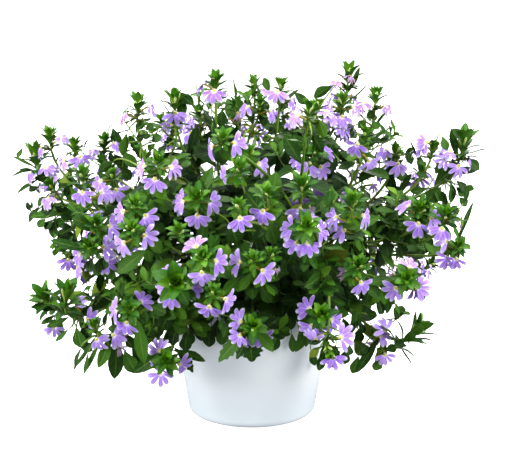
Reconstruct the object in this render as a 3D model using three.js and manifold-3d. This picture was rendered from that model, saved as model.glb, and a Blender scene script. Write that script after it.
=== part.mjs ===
// Potted fan flower: a trailing plant with one-sided fan blooms, rooted in a nursery pot that stands
// in a plain white cover pot. Millimetres, +Z up, origin at the middle of the cover pot's foot.
// The plant is looked at from the -Y side.

import * as THREE from 'three';
import { mergeVertices } from 'three/addons/utils/BufferGeometryUtils.js';
import Module from 'manifold-3d';

const wasm = await Module();
wasm.setup();

// Driving dimensions

const COVER = {
  height: 118, footRadius: 58.8, rimRadius: 77.2, footRound: 9, wall: 3.2, floor: 4, sides: 32,
};
const NURSERY = {
  foot: 4.3, height: 128, footRadius: 47, rimRadius: 66, wall: 1.4, floor: 2,
  lipOut: 2.4, lipHeight: 10, sides: 24,
};
const DRAIN = { count: 4, radius: 4, ring: 30 };
const SOIL = { top: 117.5, gap: 0.35, holeDepth: 8, holeSlack: 0.7 };
const STEM = { baseRadius: 2.1, neckRadius: 1.25, branchRadius: 0.6, steps: 5, branchSteps: 3, rootRing: 54 };
const BLOOM = {
  tube: 11.5, tubeRise: 25, radius: 12.8, spread: 36, tipHalf: 10, tipSag: 1.2, notch: 0.4, thickness: 1.9,
  throatRadius: 1.7, heel: 2.6,
};
const CROWN = {
  bracts: 6, largeTip: 13.5, largeBracts: 8, thickness: 2.4, closedReach: 0.42, openReach: 0.75,
};
const LEAF = { length: 33, width: 14, thickness: 1.5, broad: 9.5, narrow: 6, longest: 52 };

// Free space that is kept round stems, round what other stems carry, and among a stem's own parts.
const CLEARANCE = { stem: 4.8, others: 4.2, own: 2.4, pot: 3.5, bloomToPot: 2.5, leafToPot: 2 };

// The foliage fills a flattened ball round the pot: its middle height and its half axes.
const DOME = { middle: 178, across: 205, ahead: 190, rise: 147 };

// Near stems stand in front of and behind each other by these steps in turn. High heads show over each
// other, so they fill the top with larger steps. A stem's other heads keep this near to its first.
const STAGGER = { low: [0, 14, -8, 22, 6], high: [8, 62, 0, 95, 34], highFrom: 235, beside: 28 };

// The view that the heads below are given in: the eye, and how far it looks down.
const EYE = new THREE.Vector3(0, -1462, 506);
const LOOK_DOWN = THREE.MathUtils.degToRad(13);

// Heads, the leafy stem tips. Each row gives the stem that carries it, its neck as seen in the upright
// plane through the pot's axis (across, up), its lean in that view (degrees clockwise from upright), how
// far it turns its face to the viewer (degrees), the length of its leafy tip, and its blooms as
// [turn round the stem, distance below the neck, size]. Turn 0 is the viewer's side, 90 the right.
const HEADS = [
  [1, -197, 238, -3, 10, 20, [[10, 27], [-60, 12]]],
  [2, -184, 257, -3, 5, 14, [[70, 5], [-70, 8]]],
  [2, -162, 249, 0, 5, 12, [[30, 9], [-60, 14]]],
  [3, -135, 252, 4, 5, 13, [[-60, 6], [75, 4]]],
  [3, -128, 222, 0, 20, 10, [[10, 11], [-60, 2]]],
  [4, -155, 222, -5, 20, 13, [[-20, 12], [70, 17]]],
  [5, -104, 287, 2, 5, 14, [[80, 4], [-75, 9]]],
  [6, -70, 289, 0, 8, 16, [[0, 9], [75, 7]]],
  [7, -33, 307, 0, 8, 14, [[-5, 6], [-110, 4]]],
  [8, 2, 305, -5, 5, 12, [[70, 5]]],
  [8, 7, 289, 3, 15, 10, [[-70, 6], [80, 8]]],
  [9, 26, 304, 3, 10, 12, [[-15, 4], [75, 4]]],
  [10, 52, 282, 8, 10, 13, [[-60, 6], [-100, 10, 0.7]]],
  [11, 87, 313, 4, 5, 17, [[-60, 10]]],
  [11, 82, 290, 0, 25, 13, [[-75, 6], [5, 8], [70, 5]]],
  [12, 112, 294, 2, 5, 13, [[60, 8], [-60, 8]]],
  [12, 103, 260, 10, 10, 10, [[-30, 8], [20, 20]]],
  [13, 131, 246, 3, 5, 10, [[-60, 5], [10, 4]]],
  [14, 165, 247, 10, 10, 11, [[-70, 6]]],
  [15, 192, 250, 5, 15, 20, [[-60, 12], [20, 20], [80, 10]]],
  [16, 155, 190, 3, 40, 13, [[0, 8], [-120, 8], [115, 10]]],
  [17, 178, 184, 8, 40, 12, [[-5, 7], [120, 5]]],
  [18, 190, 157, 30, 60, 10, [[-80, 7], [0, 8]]],
  [19, 143, 126, 20, 72, 12, [[180, 6], [-25, 8], [75, 7], [-95, 6, 0.6]]],
  [20, 146, 70, 50, 5, 24, [[-90, 25], [90, 28]]],
  [21, 65, 91, 10, 68, 12, [[-110, 8], [-25, 12], [20, 12], [80, 9]]],
  [22, 70, 62, 165, 25, 14, [[60, 10]]],
  [23, 1, 80, 5, 70, 12, [[-110, 7], [-30, 10], [40, 10]]],
  [24, -80, 46, 10, 65, 12, [[-150, 8], [-20, 9], [75, 8]]],
  [25, -114, 96, 10, 60, 10, [[140, 8], [-15, 10], [-85, 8]]],
  [26, -70, 121, 0, 70, 17, [[-150, 9], [-90, 9], [-35, 10], [80, 10]]],
  [27, -46, 146, 5, 65, 11, [[-150, 5], [85, 7], [0, 10]]],
  [27, -36, 112, 0, 40, 9, [[-10, 7], [60, 5]]],
  [28, -51, 202, 5, 60, 12, [[-85, 8], [85, 6], [5, 9], [-100, 22]]],
  [29, -107, 195, 5, 50, 11, [[-70, 6], [50, 8]]],
  [30, -111, 172, 3, 55, 11, [[75, 9], [-50, 12]]],
  [31, -143, 177, 0, 50, 11, [[-160, 8], [85, 7], [-100, 6]]],
  [31, -150, 157, -5, 55, 10, [[180, 8], [-70, 6], [85, 9]]],
  [32, -190, 104, -25, 35, 18, [[-150, 12]]],
  [33, -174, 104, 10, 15, 22, [[-60, 25], [40, 25]]],
  [34, -146, 78, -20, 20, 11, [[-30, 4], [20, 12], [85, 18, 0.7]]],
  [35, -86, 235, 5, 45, 11, [[-85, 7], [80, 6], [-10, 7]]],
  [36, -3, 243, 0, 45, 10, [[170, 6], [60, 9]]],
  [37, -27, 256, 5, 35, 11, [[-75, 7], [75, 6]]],
  [37, -12, 228, 3, 35, 11, [[-45, 16, 0.8]]],
  [38, 57, 245, 8, 55, 12, [[-15, 8], [50, 9], [130, 10], [-80, 9]]],
  [39, 50, 175, 12, 62, 13, [[-85, 9], [-20, 12], [25, 12], [100, 8], [170, 8]]],
  [40, 93, 196, 0, 35, 13, [[70, 12], [-150, 6, 0.7], [-80, 20]]],
  [41, 98, 137, 5, 50, 13, [[-80, 10, 0.6], [-60, 14, 0.6], [40, 14]]],
  [42, 15, 205, -3, 30, 11, [[-25, 12]]],
  [42, -12, 194, -5, 30, 9, [[-5, 6]]],
  [43, 46, 211, 2, 35, 14, [[-5, 8], [60, 12, 0.6]]],
  [44, 1, 143, 5, 50, 10, [[-85, 7], [50, 6]]],
  [44, 17, 148, 0, 30, 9, [[80, 14, 0.6]]],
  [45, -67, 170, 0, 35, 10, [[70, 22, 0.6]]],
];

// Leaves that show from a step away: the stem, the leaf tip's place in the same view, its width and
// whether its edge is cut into teeth.
const LARGE_LEAVES = [
  [1, -221, 225, 5, 0], [1, -219, 243, 4, 0], [1, -217, 208, 5, 0], [1, -178, 222, 13, 0],
  [1, -172, 207, 7, 0], [3, -142, 228, 7, 0], [4, -168, 226, 5, 0], [5, -112, 262, 8, 1],
  [6, -82, 296, 4, 0], [6, -50, 270, 9, 0], [7, -49, 294, 4, 0], [7, -44, 286, 7, 0],
  [7, -58, 284, 5, 0], [8, -16, 298, 9, 0], [9, 43, 305, 3, 0], [10, 30, 262, 13, 0],
  [11, 97, 324, 5, 0], [11, 104, 308, 3, 0], [11, 68, 272, 12, 0], [12, 125, 288, 3, 0],
  [12, 121, 268, 4, 0], [14, 145, 257, 5, 0], [14, 146, 226, 6, 0], [15, 208, 231, 10, 0],
  [15, 182, 268, 7, 0], [15, 215, 250, 4, 0], [15, 186, 232, 13, 0], [17, 204, 184, 4, 0],
  [17, 182, 198, 13, 0], [16, 162, 202, 13, 0], [18, 204, 200, 4, 0], [19, 126, 92, 7, 0],
  [19, 119, 91, 9, 0], [20, 170, 68, 4, 0], [20, 118, 38, 10, 0], [20, 152, 43, 3, 0],
  [20, 139, 89, 3, 0], [20, 104, 90, 9, 0], [21, 40, 55, 9, 0], [20, 98, 35, 8, 0],
  [22, 65, 38, 6, 0], [21, 50, 60, 8, 1], [23, 0, 45, 19, 1], [23, 20, 56, 10, 0],
  [23, -15, 48, 9, 1], [24, -55, 35, 8, 1], [24, -43, 47, 9, 0], [23, -32, 46, 12, 1],
  [25, -101, 43, 12, 0], [24, -113, 35, 12, 0], [34, -130, 28, 14, 0], [34, -145, 40, 10, 0],
  [33, -163, 60, 12, 0], [34, -170, 38, 4, 0], [34, -160, 33, 4, 0], [32, -206, 112, 8, 1],
  [32, -206, 100, 8, 1], [33, -152, 96, 8, 0], [31, -186, 164, 9, 0], [31, -165, 185, 13, 0],
  [1, -192, 190, 13, 0], [28, -36, 232, 10, 0], [7, -54, 252, 10, 0], [37, 6, 215, 10, 0],
  [42, 22, 228, 13, 0], [40, 118, 186, 9, 0], [41, 82, 158, 9, 0], [43, 62, 192, 12, 0],
  [42, -6, 210, 11, 0], [45, -50, 168, 8, 0], [44, -22, 152, 11, 0], [44, 5, 128, 8, 0],
  [26, -52, 106, 9, 0], [26, -85, 114, 12, 0], [38, 38, 262, 13, 0],
];

// The far side: stems in tiers, evenly spread, each with two heads at these levels over the dome's
// middle (degrees), the second one set a little to its left.
const FAR = {
  tiers: [{ stems: 7, levels: [-20, 14] }, { stems: 5, levels: [38, 66] }],
  first: 5,
  last: 175,
  within: 0.93,
  sideSteps: [0, 11],
  tip: 11,
  blooms: [[-60, 8], [55, 9]],
  seed: 4,
};

// Far heads end below this line, given as [across, up] in the same view, so that the near heads stand
// out above them.
const SKYLINE = [
  [-220, 215], [-178, 240], [-118, 252], [-90, 283], [-17, 301], [100, 299], [136, 248], [173, 248],
  [215, 220],
];
const SKYLINE_GAP = 3;

// Seeded draws from 0 to 1, the same on every run.
function seededDraws(seed) {
  let state = seed;
  return () => {
    state = (state * 1664525 + 1013904223) % 4294967296;
    return state / 4294967296;
  };
}

const vec = (x, y, z) => new THREE.Vector3(x, y, z);
const radians = THREE.MathUtils.degToRad;

// A sum of directions, each with its weight: combine([a, 1], [b, 0.5]).
function combine(...terms) {
  return terms.reduce((sum, [direction, weight]) => sum.addScaledVector(direction, weight), vec(0, 0, 0));
}

// The part of a direction that stands square to another one, as a unit vector.
function squareTo(direction, other) {
  return combine([direction, 1], [other, -direction.dot(other)]).normalize();
}

// The point on the sight line through (across, up) that stands so far along Y.
function inView(across, up, y) {
  const sight = combine([vec(across, 0, up), 1], [EYE, -1]);
  return combine([EYE, 1], [sight, (y - EYE.y) / sight.y]);
}

// How far along Y that sight line meets the dome, or passes nearest to its middle.
function depthOnDome(across, up) {
  const sight = combine([vec(across, 0, up), 1], [EYE, -1]);
  const scale = vec(1 / DOME.across, 1 / DOME.ahead, 1 / DOME.rise);
  const start = combine([EYE, 1], [vec(0, 0, DOME.middle), -1]).multiply(scale);
  const run = sight.clone().multiply(scale);
  const a = run.dot(run);
  const b = start.dot(run);
  const room = Math.max(b * b - a * (start.dot(start) - 1), 0);
  return EYE.y + (sight.y * (-b - Math.sqrt(room))) / a;
}

// The axes of a head that leans in the plane of (right, up) and turns its face toward the viewer.
function headFrame(lean, face, right, up, toward) {
  const upright = combine([up, Math.cos(radians(lean))], [right, Math.sin(radians(lean))]);
  return {
    axis: combine([upright, Math.cos(radians(face))], [toward, Math.sin(radians(face))]),
    below: combine([toward, Math.cos(radians(face))], [upright, -Math.sin(radians(face))]),
    side: combine([right, Math.cos(radians(lean))], [up, -Math.sin(radians(lean))]),
  };
}

function nearHeads() {
  const toward = vec(0, -Math.cos(LOOK_DOWN), Math.sin(LOOK_DOWN));
  const up = vec(0, Math.sin(LOOK_DOWN), Math.cos(LOOK_DOWN));
  const firstDepths = [];
  return HEADS.map(([stem, across, height, lean, face, tip, blooms]) => {
    const steps = height > STAGGER.highFrom ? STAGGER.high : STAGGER.low;
    const depth = depthOnDome(across, height) + steps[stem % steps.length];
    firstDepths[stem] ??= depth;
    const { clamp } = THREE.MathUtils;
    const near = clamp(depth, firstDepths[stem] - STAGGER.beside, firstDepths[stem] + STAGGER.beside);
    return {
      stem,
      neck: inView(across, height, near),
      ...headFrame(lean, face, vec(1, 0, 0), up, toward),
      openness: face,
      tip,
      blooms,
    };
  });
}

// The skyline's height at a place across the view.
function skylineAt(across) {
  const last = SKYLINE.length - 1;
  const end = SKYLINE.findIndex(([place]) => place > across);
  const index = Math.min(Math.max(end < 0 ? last : end, 1), last);
  const [from, fromUp] = SKYLINE[index - 1];
  const [to, toUp] = SKYLINE[index];
  const part = Math.min(Math.max((across - from) / (to - from), 0), 1);
  return fromUp + (toUp - fromUp) * part;
}

// A neck lowered until its leafy tip, seen from the eye, ends below the skyline.
function belowSkyline(neck, tip) {
  const scale = EYE.y / (EYE.y - neck.y);
  const seenUp = EYE.z + (neck.z + tip - EYE.z) * scale;
  const excess = Math.max(seenUp + SKYLINE_GAP - skylineAt(neck.x * scale), 0);
  return vec(neck.x, neck.y, neck.z - excess / scale);
}


// Heads on the far half of the dome, leaning and standing a little unevenly.
function farHeads(firstStem) {
  const draw = seededDraws(FAR.seed);
  const up = vec(0, 0, 1);
  const stems = FAR.tiers.flatMap((tier) => Array.from({ length: tier.stems }, (_, place) => ({
    levels: tier.levels,
    azimuth: FAR.first + ((FAR.last - FAR.first) * (place + 0.5)) / tier.stems,
  })));
  return stems.flatMap(({ levels, azimuth }, number) => levels.map((wantedLevel, index) => {
    const turn = radians(azimuth + FAR.sideSteps[index]);
    const level = radians(wantedLevel + 8 * (draw() - 0.5));
    const outward = vec(Math.cos(turn), Math.sin(turn), 0);
    const onDome = vec(
      DOME.across * FAR.within * Math.cos(level) * outward.x,
      DOME.ahead * FAR.within * Math.cos(level) * outward.y,
      DOME.middle + DOME.rise * FAR.within * Math.sin(level),
    );
    const neck = belowSkyline(onDome, FAR.tip);
    const face = 60 - (50 * (neck.z - 100)) / 220;
    return {
      stem: firstStem + number,
      neck,
      ...headFrame(24 * (draw() - 0.5), face, up.clone().cross(outward), up, outward),
      openness: face,
      tip: FAR.tip,
      blooms: FAR.blooms.slice(0, 1 + ((number + index) % 2)),
    };
  }));
}

// What is placed so far, as points with the stem that they belong to, so that stems keep apart.
const crowd = [];

// True where a point lies in the pots or the soil, or too near them.
function inPot(point, margin) {
  const radius = Math.hypot(point.x, point.y);
  const wallRadius = COVER.footRadius + ((COVER.rimRadius - COVER.footRadius) * point.z) / COVER.height;
  const lipRadius = NURSERY.rimRadius + NURSERY.lipOut;
  const mouth = NURSERY.rimRadius - 5;
  if (point.z < 3) return true;
  if (point.z < COVER.height + margin && radius < wallRadius + margin) {
    return radius > mouth - 1 || point.z < SOIL.top + 2;
  }
  return point.z < NURSERY.height + margin && radius > mouth && radius < lipRadius + margin;
}

function isClear(points, stem, gap = CLEARANCE.others) {
  return points.every((point) => !crowd.some((other) => {
    const least = other.stem === stem ? other.ownGap : gap;
    return other.point.distanceToSquared(point) < least * least;
  }));
}

function addToCrowd(points, stem, ownGap) {
  points.forEach((point) => crowd.push({ point, stem, ownGap }));
}

// A stem's centre line: a curve cut into straight steps, and places on it by distance from its start.
function centreLine(curve, steps) {
  const joints = curve.getPoints(steps);
  const lengths = joints.slice(1).map((joint, index) => joint.distanceTo(joints[index]));
  const total = lengths.reduce((sum, length) => sum + length, 0);
  const at = (distance) => {
    let index = 0;
    let left = distance;
    while (index < steps - 1 && left > lengths[index]) {
      left -= lengths[index];
      index += 1;
    }
    const step = combine([joints[index + 1], 1 / lengths[index]], [joints[index], -1 / lengths[index]]);
    return { point: combine([joints[index], 1], [step, left]), tangent: step };
  };
  const samples = (spacing) => {
    const count = Math.round(total / spacing);
    return Array.from({ length: count + 1 }, (_, k) => at((total * k) / count).point);
  };
  return { curve, steps, joints, total, at, samples };
}

// Root places in the soil, spread like seeds in a sunflower.
function rootPlace(index, count) {
  const radius = STEM.rootRing * Math.sqrt((index + 0.5) / count);
  const angle = index * Math.PI * (3 - Math.sqrt(5));
  return vec(radius * Math.cos(angle), radius * Math.sin(angle), SOIL.top - SOIL.holeDepth + SOIL.gap);
}

// Each stem takes the free root place nearest to where its head points, the lowest heads first.
function assignRoots(stems) {
  const places = stems.map((_, index) => rootPlace(index, stems.length));
  const polar = ({ heads: [{ neck }] }) => Math.atan2(Math.hypot(neck.x, neck.y), neck.z - SOIL.top + 30);
  [...stems].sort((one, other) => polar(other) - polar(one)).forEach((stem) => {
    const { neck } = stem.heads[0];
    const reach = (STEM.rootRing * polar(stem)) / radians(115) / Math.hypot(neck.x, neck.y);
    const wish = vec(neck.x * reach, neck.y * reach, places[0].z);
    places.sort((one, other) => one.distanceToSquared(wish) - other.distanceToSquared(wish));
    stem.root = places.shift();
  });
}

// A main stem rises from its root, arches over the rim where its head is low, and ends in its neck.
function growMain(stem, draw) {
  const { neck, axis } = stem.heads[0];
  const span = neck.distanceTo(stem.root);
  const rise = vec(0, 0, Math.max(0.45 * span, 55));
  const outward = vec(neck.x, neck.y, 0).multiplyScalar(0.12);
  for (let attempt = 0; attempt < 90; attempt += 1) {
    const sway = () => 1.2 * attempt * (draw() - 0.5);
    const lift = vec(0, 0, 2 * attempt * (neck.z < 150 ? 1 : 0.15));
    const first = combine([stem.root, 1], [rise, 1], [outward, 1], [lift, 1]);
    const second = combine([neck, 1], [axis, -0.34 * span], [lift, 0.7]);
    first.add(vec(sway(), sway(), 0));
    second.add(vec(sway(), sway(), sway()));
    const line = centreLine(new THREE.CubicBezierCurve3(stem.root, first, second, neck), STEM.steps);
    const points = line.samples(3);
    const aboveSoil = points.filter((point) => point.z > SOIL.top + 3);
    if (aboveSoil.some((point) => inPot(point, CLEARANCE.pot))) continue;
    if (!isClear(points, stem.number, CLEARANCE.stem)) continue;
    addToCrowd(points, stem.number, 0);
    return line;
  }
  throw new Error(`stem ${stem.number} finds no way to its head`);
}

// A side branch leaves the main stem about a hand's breadth before its own head.
function growBranch(main, head, stemNumber, draw) {
  const starts = main.samples(4).slice(6, -3);
  const misfit = (point) => Math.abs(point.distanceTo(head.neck) - 45);
  const start = starts.reduce((best, point) => (misfit(point) < misfit(best) ? point : best));
  const span = start.distanceTo(head.neck);
  const nearby = combine([head.neck, 1], [start, -1]).multiplyScalar(0.35);
  for (let attempt = 0; attempt < 60; attempt += 1) {
    const sway = () => 1.2 * attempt * (draw() - 0.5);
    const first = combine([start, 1], [nearby, 1]).add(vec(sway(), sway(), sway()));
    const second = combine([head.neck, 1], [head.axis, -0.4 * span]).add(vec(sway(), sway(), sway()));
    const line = centreLine(new THREE.CubicBezierCurve3(start, first, second, head.neck), STEM.branchSteps);
    const points = line.samples(3);
    if (points.some((point) => inPot(point, CLEARANCE.pot))) continue;
    if (!isClear(points, stemNumber, CLEARANCE.stem)) continue;
    addToCrowd(points, stemNumber, 0);
    return line;
  }
  throw new Error(`a branch of stem ${stemNumber} finds no way to its head`);
}

// How far the outer bracts reach sideways: more where the head opens to the viewer.
function crownReach({ tip, openness }) {
  return tip * (CROWN.closedReach + ((CROWN.openReach - CROWN.closedReach) * openness) / 70);
}

// Points all over a crown of bracts, by which crowns and stems keep apart.
function crownPoints(head) {
  const { neck, axis, below, side, tip } = head;
  const points = [];
  for (let ring = 1; ring <= 4; ring += 1) {
    for (let turn = 0; turn < 2 * Math.PI - 0.01; turn += Math.PI / 3) {
      const out = combine([below, Math.cos(turn)], [side, Math.sin(turn)]);
      points.push(combine([neck, 1], [axis, (tip * ring) / 4], [out, (crownReach(head) * ring) / 4]));
    }
  }
  return points;
}

// A bloom's throat stands off the stem; its fan spreads on the outer side and faces outward.
function poseBloom(line, head, [turn, drop, size = 1], nudge) {
  const { point: foot, tangent } = line.at(line.total - drop - nudge.drop);
  const angle = radians(turn + nudge.turn);
  const out = squareTo(combine([head.below, Math.cos(angle)], [head.side, Math.sin(angle)]), tangent);
  const rise = radians(BLOOM.tubeRise);
  const tubeWay = combine([out, Math.cos(rise)], [tangent, Math.sin(rise)]);
  const droop = radians(62 - 0.52 * head.openness + nudge.droop);
  return {
    foot,
    throat: combine([foot, 1], [tubeWay, BLOOM.tube * (0.4 + 0.6 * size)]),
    middle: combine([out, Math.cos(droop)], [tangent, -Math.sin(droop)]),
    normal: combine([out, Math.sin(droop)], [tangent, Math.cos(droop)]),
    radius: BLOOM.radius * size,
    size,
  };
}

function bloomPoints({ foot, throat, middle, normal, radius }) {
  const side = normal.clone().cross(middle);
  const points = [0.5, 0.8].map((part) => foot.clone().lerp(throat, part));
  for (let ring = 0.25; ring <= 1; ring += 0.25) {
    for (let angle = -80; angle <= 80; angle += 20) {
      const out = combine([middle, Math.cos(radians(angle))], [side, Math.sin(radians(angle))]);
      points.push(combine([throat, 1], [out, radius * ring]));
    }
  }
  return points;
}

// A bloom that would cross another stem's foliage is turned, raised or lowered a little.
const BLOOM_NUDGES = [];
[0, 8, -8, 16, -16, 26, -26, 40, -40, 60, -60].forEach((turn) => {
  [[0, 0], [0, 14], [0, -14], [5, 0], [-3, 0], [9, 10], [5, -16]].forEach(([drop, droop]) => {
    BLOOM_NUDGES.push({ turn, drop, droop });
  });
});

function placeBloom(line, head, row, stemNumber) {
  for (const nudge of BLOOM_NUDGES) {
    const bloom = poseBloom(line, head, row, nudge);
    const points = bloomPoints(bloom);
    if (points.some((point) => inPot(point, CLEARANCE.bloomToPot)) || !isClear(points, stemNumber)) continue;
    addToCrowd(points, stemNumber, CLEARANCE.own);
    return bloom;
  }
  return null;
}

// A leaf from its base along a direction, with its face turned to a normal, its tip bent back.
function leafPoints({ base, way, normal, length, width, bend }) {
  const side = normal.clone().cross(way);
  const points = [];
  for (let along = 0.2; along <= 1.001; along += 0.16) {
    [-0.5, 0, 0.5].forEach((across) => {
      const centre = combine([base, 1], [way, length * along], [normal, -bend * length * along * along]);
      points.push(centre.addScaledVector(side, across * width * 0.8));
    });
  }
  return points;
}

function settleLeaf(leaf, stemNumber) {
  const points = leafPoints(leaf);
  if (points.some((point) => inPot(point, CLEARANCE.leafToPot)) || !isClear(points, stemNumber)) return false;
  addToCrowd(points, stemNumber, CLEARANCE.own);
  return true;
}

// A large leaf runs from the stem to a tip given in the view, and is tried at a few depths.
function placeLargeLeaf(lines, [stemNumber, across, up, width, teeth]) {
  const candidates = lines.flatMap((line) => line.samples(4).slice(5, -1));
  const tries = [];
  candidates.forEach((base) => {
    [0, 7, -7, 14, -14].forEach((forward) => {
      const tip = inView(across, up, base.y - forward);
      const length = base.distanceTo(tip);
      const inward = tip.length() < base.length() ? 30 : 0;
      const effort = Math.abs(length - 30) + Math.abs(forward) * 0.3 + inward;
      tries.push({ base, tip, length, effort });
    });
  });
  tries.sort((one, other) => one.effort - other.effort);
  for (const { base, tip, length } of tries.slice(0, 60)) {
    const way = combine([tip, 1], [base, -1]).normalize();
    const facing = width < LEAF.narrow ? vec(0.3, -0.3, 0.9) : vec(0, -0.8, 0.6);
    const leaf = { base, way, normal: squareTo(facing, way), length, width, bend: 0.05, teeth };
    if (length < LEAF.longest && settleLeaf(leaf, stemNumber)) return leaf;
  }
  return null;
}

// Leaves by rule: up the stem in a golden spiral, smaller toward the tip, lifted to the light.
function placeSpiralLeaves(line, count, stemNumber, draw) {
  const leaves = [];
  const spin = draw() * 360;
  for (let index = 0; index < count; index += 1) {
    const along = 0.45 + (0.45 * (index + 0.5)) / count;
    const { point: base, tangent } = line.at(along * line.total);
    const size = 0.9 + 0.25 * draw();
    for (let attempt = 0; attempt < 12; attempt += 1) {
      const angle = radians(spin + 137.5 * index + 30 * attempt * (attempt % 2 ? 1 : -1));
      const arm = squareTo(vec(Math.cos(angle), Math.sin(angle), 0.15 * Math.sin(3 * angle)), tangent);
      const way = combine([arm, 0.82], [tangent, 0.5], [vec(0, 0, 1), -0.12]).normalize();
      const leaf = {
        base,
        way,
        normal: squareTo(combine([tangent, 1], [vec(0, 0, 1), 0.5]), way),
        length: LEAF.length * size,
        width: LEAF.width * size,
        bend: 0.15,
        teeth: 0,
      };
      if (!settleLeaf(leaf, stemNumber)) continue;
      leaves.push(leaf);
      break;
    }
  }
  return leaves;
}

// Plan of the whole plant: stems first, then crowns, blooms, large leaves and spiral leaves.
function planPlant() {
  const near = nearHeads();
  const lastNear = Math.max(...near.map(({ stem }) => stem));
  const heads = [...near, ...farHeads(lastNear + 1)];
  const stems = [];
  heads.forEach((head) => {
    stems[head.stem - 1] ??= { number: head.stem, heads: [], lines: [], blooms: [], leaves: [] };
    stems[head.stem - 1].heads.push(head);
  });
  assignRoots(stems);
  heads.forEach((head) => addToCrowd(crownPoints(head), head.stem, 0));
  stems.forEach((stem) => {
    const draw = seededDraws(1000 + stem.number);
    stem.lines.push(growMain(stem, draw));
    stem.heads.slice(1).forEach((head) => {
      stem.lines.push(growBranch(stem.lines[0], head, stem.number, draw));
    });
  });
  stems.forEach((stem) => stem.heads.forEach((head, index) => {
    head.blooms.forEach((row) => stem.blooms.push(placeBloom(stem.lines[index], head, row, stem.number)));
  }));
  LARGE_LEAVES.forEach((row) => {
    const stem = stems[row[0] - 1];
    stem.leaves.push(placeLargeLeaf(stem.lines, row));
  });
  stems.forEach((stem) => stem.lines.forEach((line, index) => {
    const draw = seededDraws(2000 + 10 * stem.number + index);
    const count = stem.number > lastNear ? 2 - index : 2 - index - Math.ceil(stem.leaves.length / 2);
    stem.leaves.push(...placeSpiralLeaves(line, count, stem.number, draw));
  }));
  return stems;
}

// A solid from corner points and faces whose corners run counter-clockwise seen from outside.
function solidOf(points, faces) {
  const vertProperties = new Float32Array(points.flatMap(({ x, y, z }) => [x, y, z]));
  const triVerts = new Uint32Array(faces.flat());
  return new wasm.Manifold(new wasm.Mesh({ numProp: 3, vertProperties, triVerts }));
}

function solidOfGeometry(geometry) {
  geometry.deleteAttribute('normal');
  geometry.deleteAttribute('uv');
  const merged = mergeVertices(geometry, 1e-4);
  return new wasm.Manifold(new wasm.Mesh({
    numProp: 3,
    vertProperties: merged.attributes.position.array,
    triVerts: new Uint32Array(merged.index.array),
  }));
}

function meshOf(solid, name, colour, roughness) {
  const { vertProperties, triVerts } = solid.getMesh();
  const geometry = new THREE.BufferGeometry();
  geometry.setAttribute('position', new THREE.BufferAttribute(vertProperties, 3));
  geometry.setIndex(new THREE.BufferAttribute(triVerts, 1));
  geometry.computeVertexNormals();
  const material = new THREE.MeshStandardMaterial({ color: colour, roughness, metalness: 0 });
  const mesh = new THREE.Mesh(geometry, material);
  mesh.name = name;
  return mesh;
}

// A three-sided ring of corners round a point, counter-clockwise seen from the way it faces.
function triangleRing(centre, across, facing, radius) {
  const other = facing.clone().cross(across);
  return [0, 120, 240].map((angle) => combine(
    [centre, 1],
    [across, radius * Math.cos(radians(angle))],
    [other, radius * Math.sin(radians(angle))],
  ));
}

// Faces of the wall between two such rings, given by the index of their first corners.
function ringWall(low, high) {
  return [0, 1, 2].flatMap((corner) => {
    const next = (corner + 1) % 3;
    return [[low + corner, low + next, high + next], [low + corner, high + next, high + corner]];
  });
}

// Faces from an open three-cornered ring out to a wider outline round it, facing back along the ring.
function flare(points, ringStart, outlineStart) {
  const count = points.length - outlineStart;
  const [first, second, third] = points.slice(ringStart, ringStart + 3);
  const centre = combine([first, 1 / 3], [second, 1 / 3], [third, 1 / 3]);
  const ahead = combine([first, 1], [centre, -1]);
  const leftward = combine([second, 1], [third, -1]);
  const nearest = (index) => {
    const here = points[outlineStart + (index % count)];
    const edge = here.clone().lerp(points[outlineStart + ((index + 1) % count)], 0.5).sub(centre);
    const turn = Math.atan2(edge.dot(leftward) / leftward.length(), edge.dot(ahead) / ahead.length());
    return (Math.round(turn / radians(120)) + 3) % 3;
  };
  const faces = [];
  for (let index = 0; index < count; index += 1) {
    const here = outlineStart + index;
    const next = outlineStart + ((index + 1) % count);
    let corner = nearest(index + count - 1);
    faces.push([ringStart + nearest(index), next, here]);
    while (corner !== nearest(index)) {
      faces.push([here, ringStart + corner, ringStart + ((corner + 1) % 3)]);
      corner = (corner + 1) % 3;
    }
  }
  return faces;
}

// Faces from a middle point out to an outline round it, facing forward.
function fanFaces(centre, outlineStart, count) {
  return Array.from({ length: count }, (_, index) => (
    [centre, outlineStart + index, outlineStart + ((index + 1) % count)]
  ));
}

// The leafy tip's outline: pointed bracts, every other one taller, round a shallow cup.
function crownOutline(head) {
  const { neck, axis, below, side, tip } = head;
  const wide = crownReach(head);
  const corners = (tip > CROWN.largeTip ? CROWN.largeBracts : CROWN.bracts) * 2;
  return Array.from({ length: corners }, (_, corner) => {
    const angle = (corner * 2 * Math.PI) / corners;
    const [reach, rise] = [[1, 0.72], [0.5, 0.36], [0.45, 1], [0.5, 0.36]][corner % 4];
    return combine(
      [neck, 1],
      [axis, tip * rise],
      [below, wide * reach * Math.cos(angle)],
      [side, wide * reach * Math.sin(angle)],
    );
  });
}

// The way that the first corner of a stem's three-sided section points.
const SECTION_START = vec(0.31, 0.95, 0.1);

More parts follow.
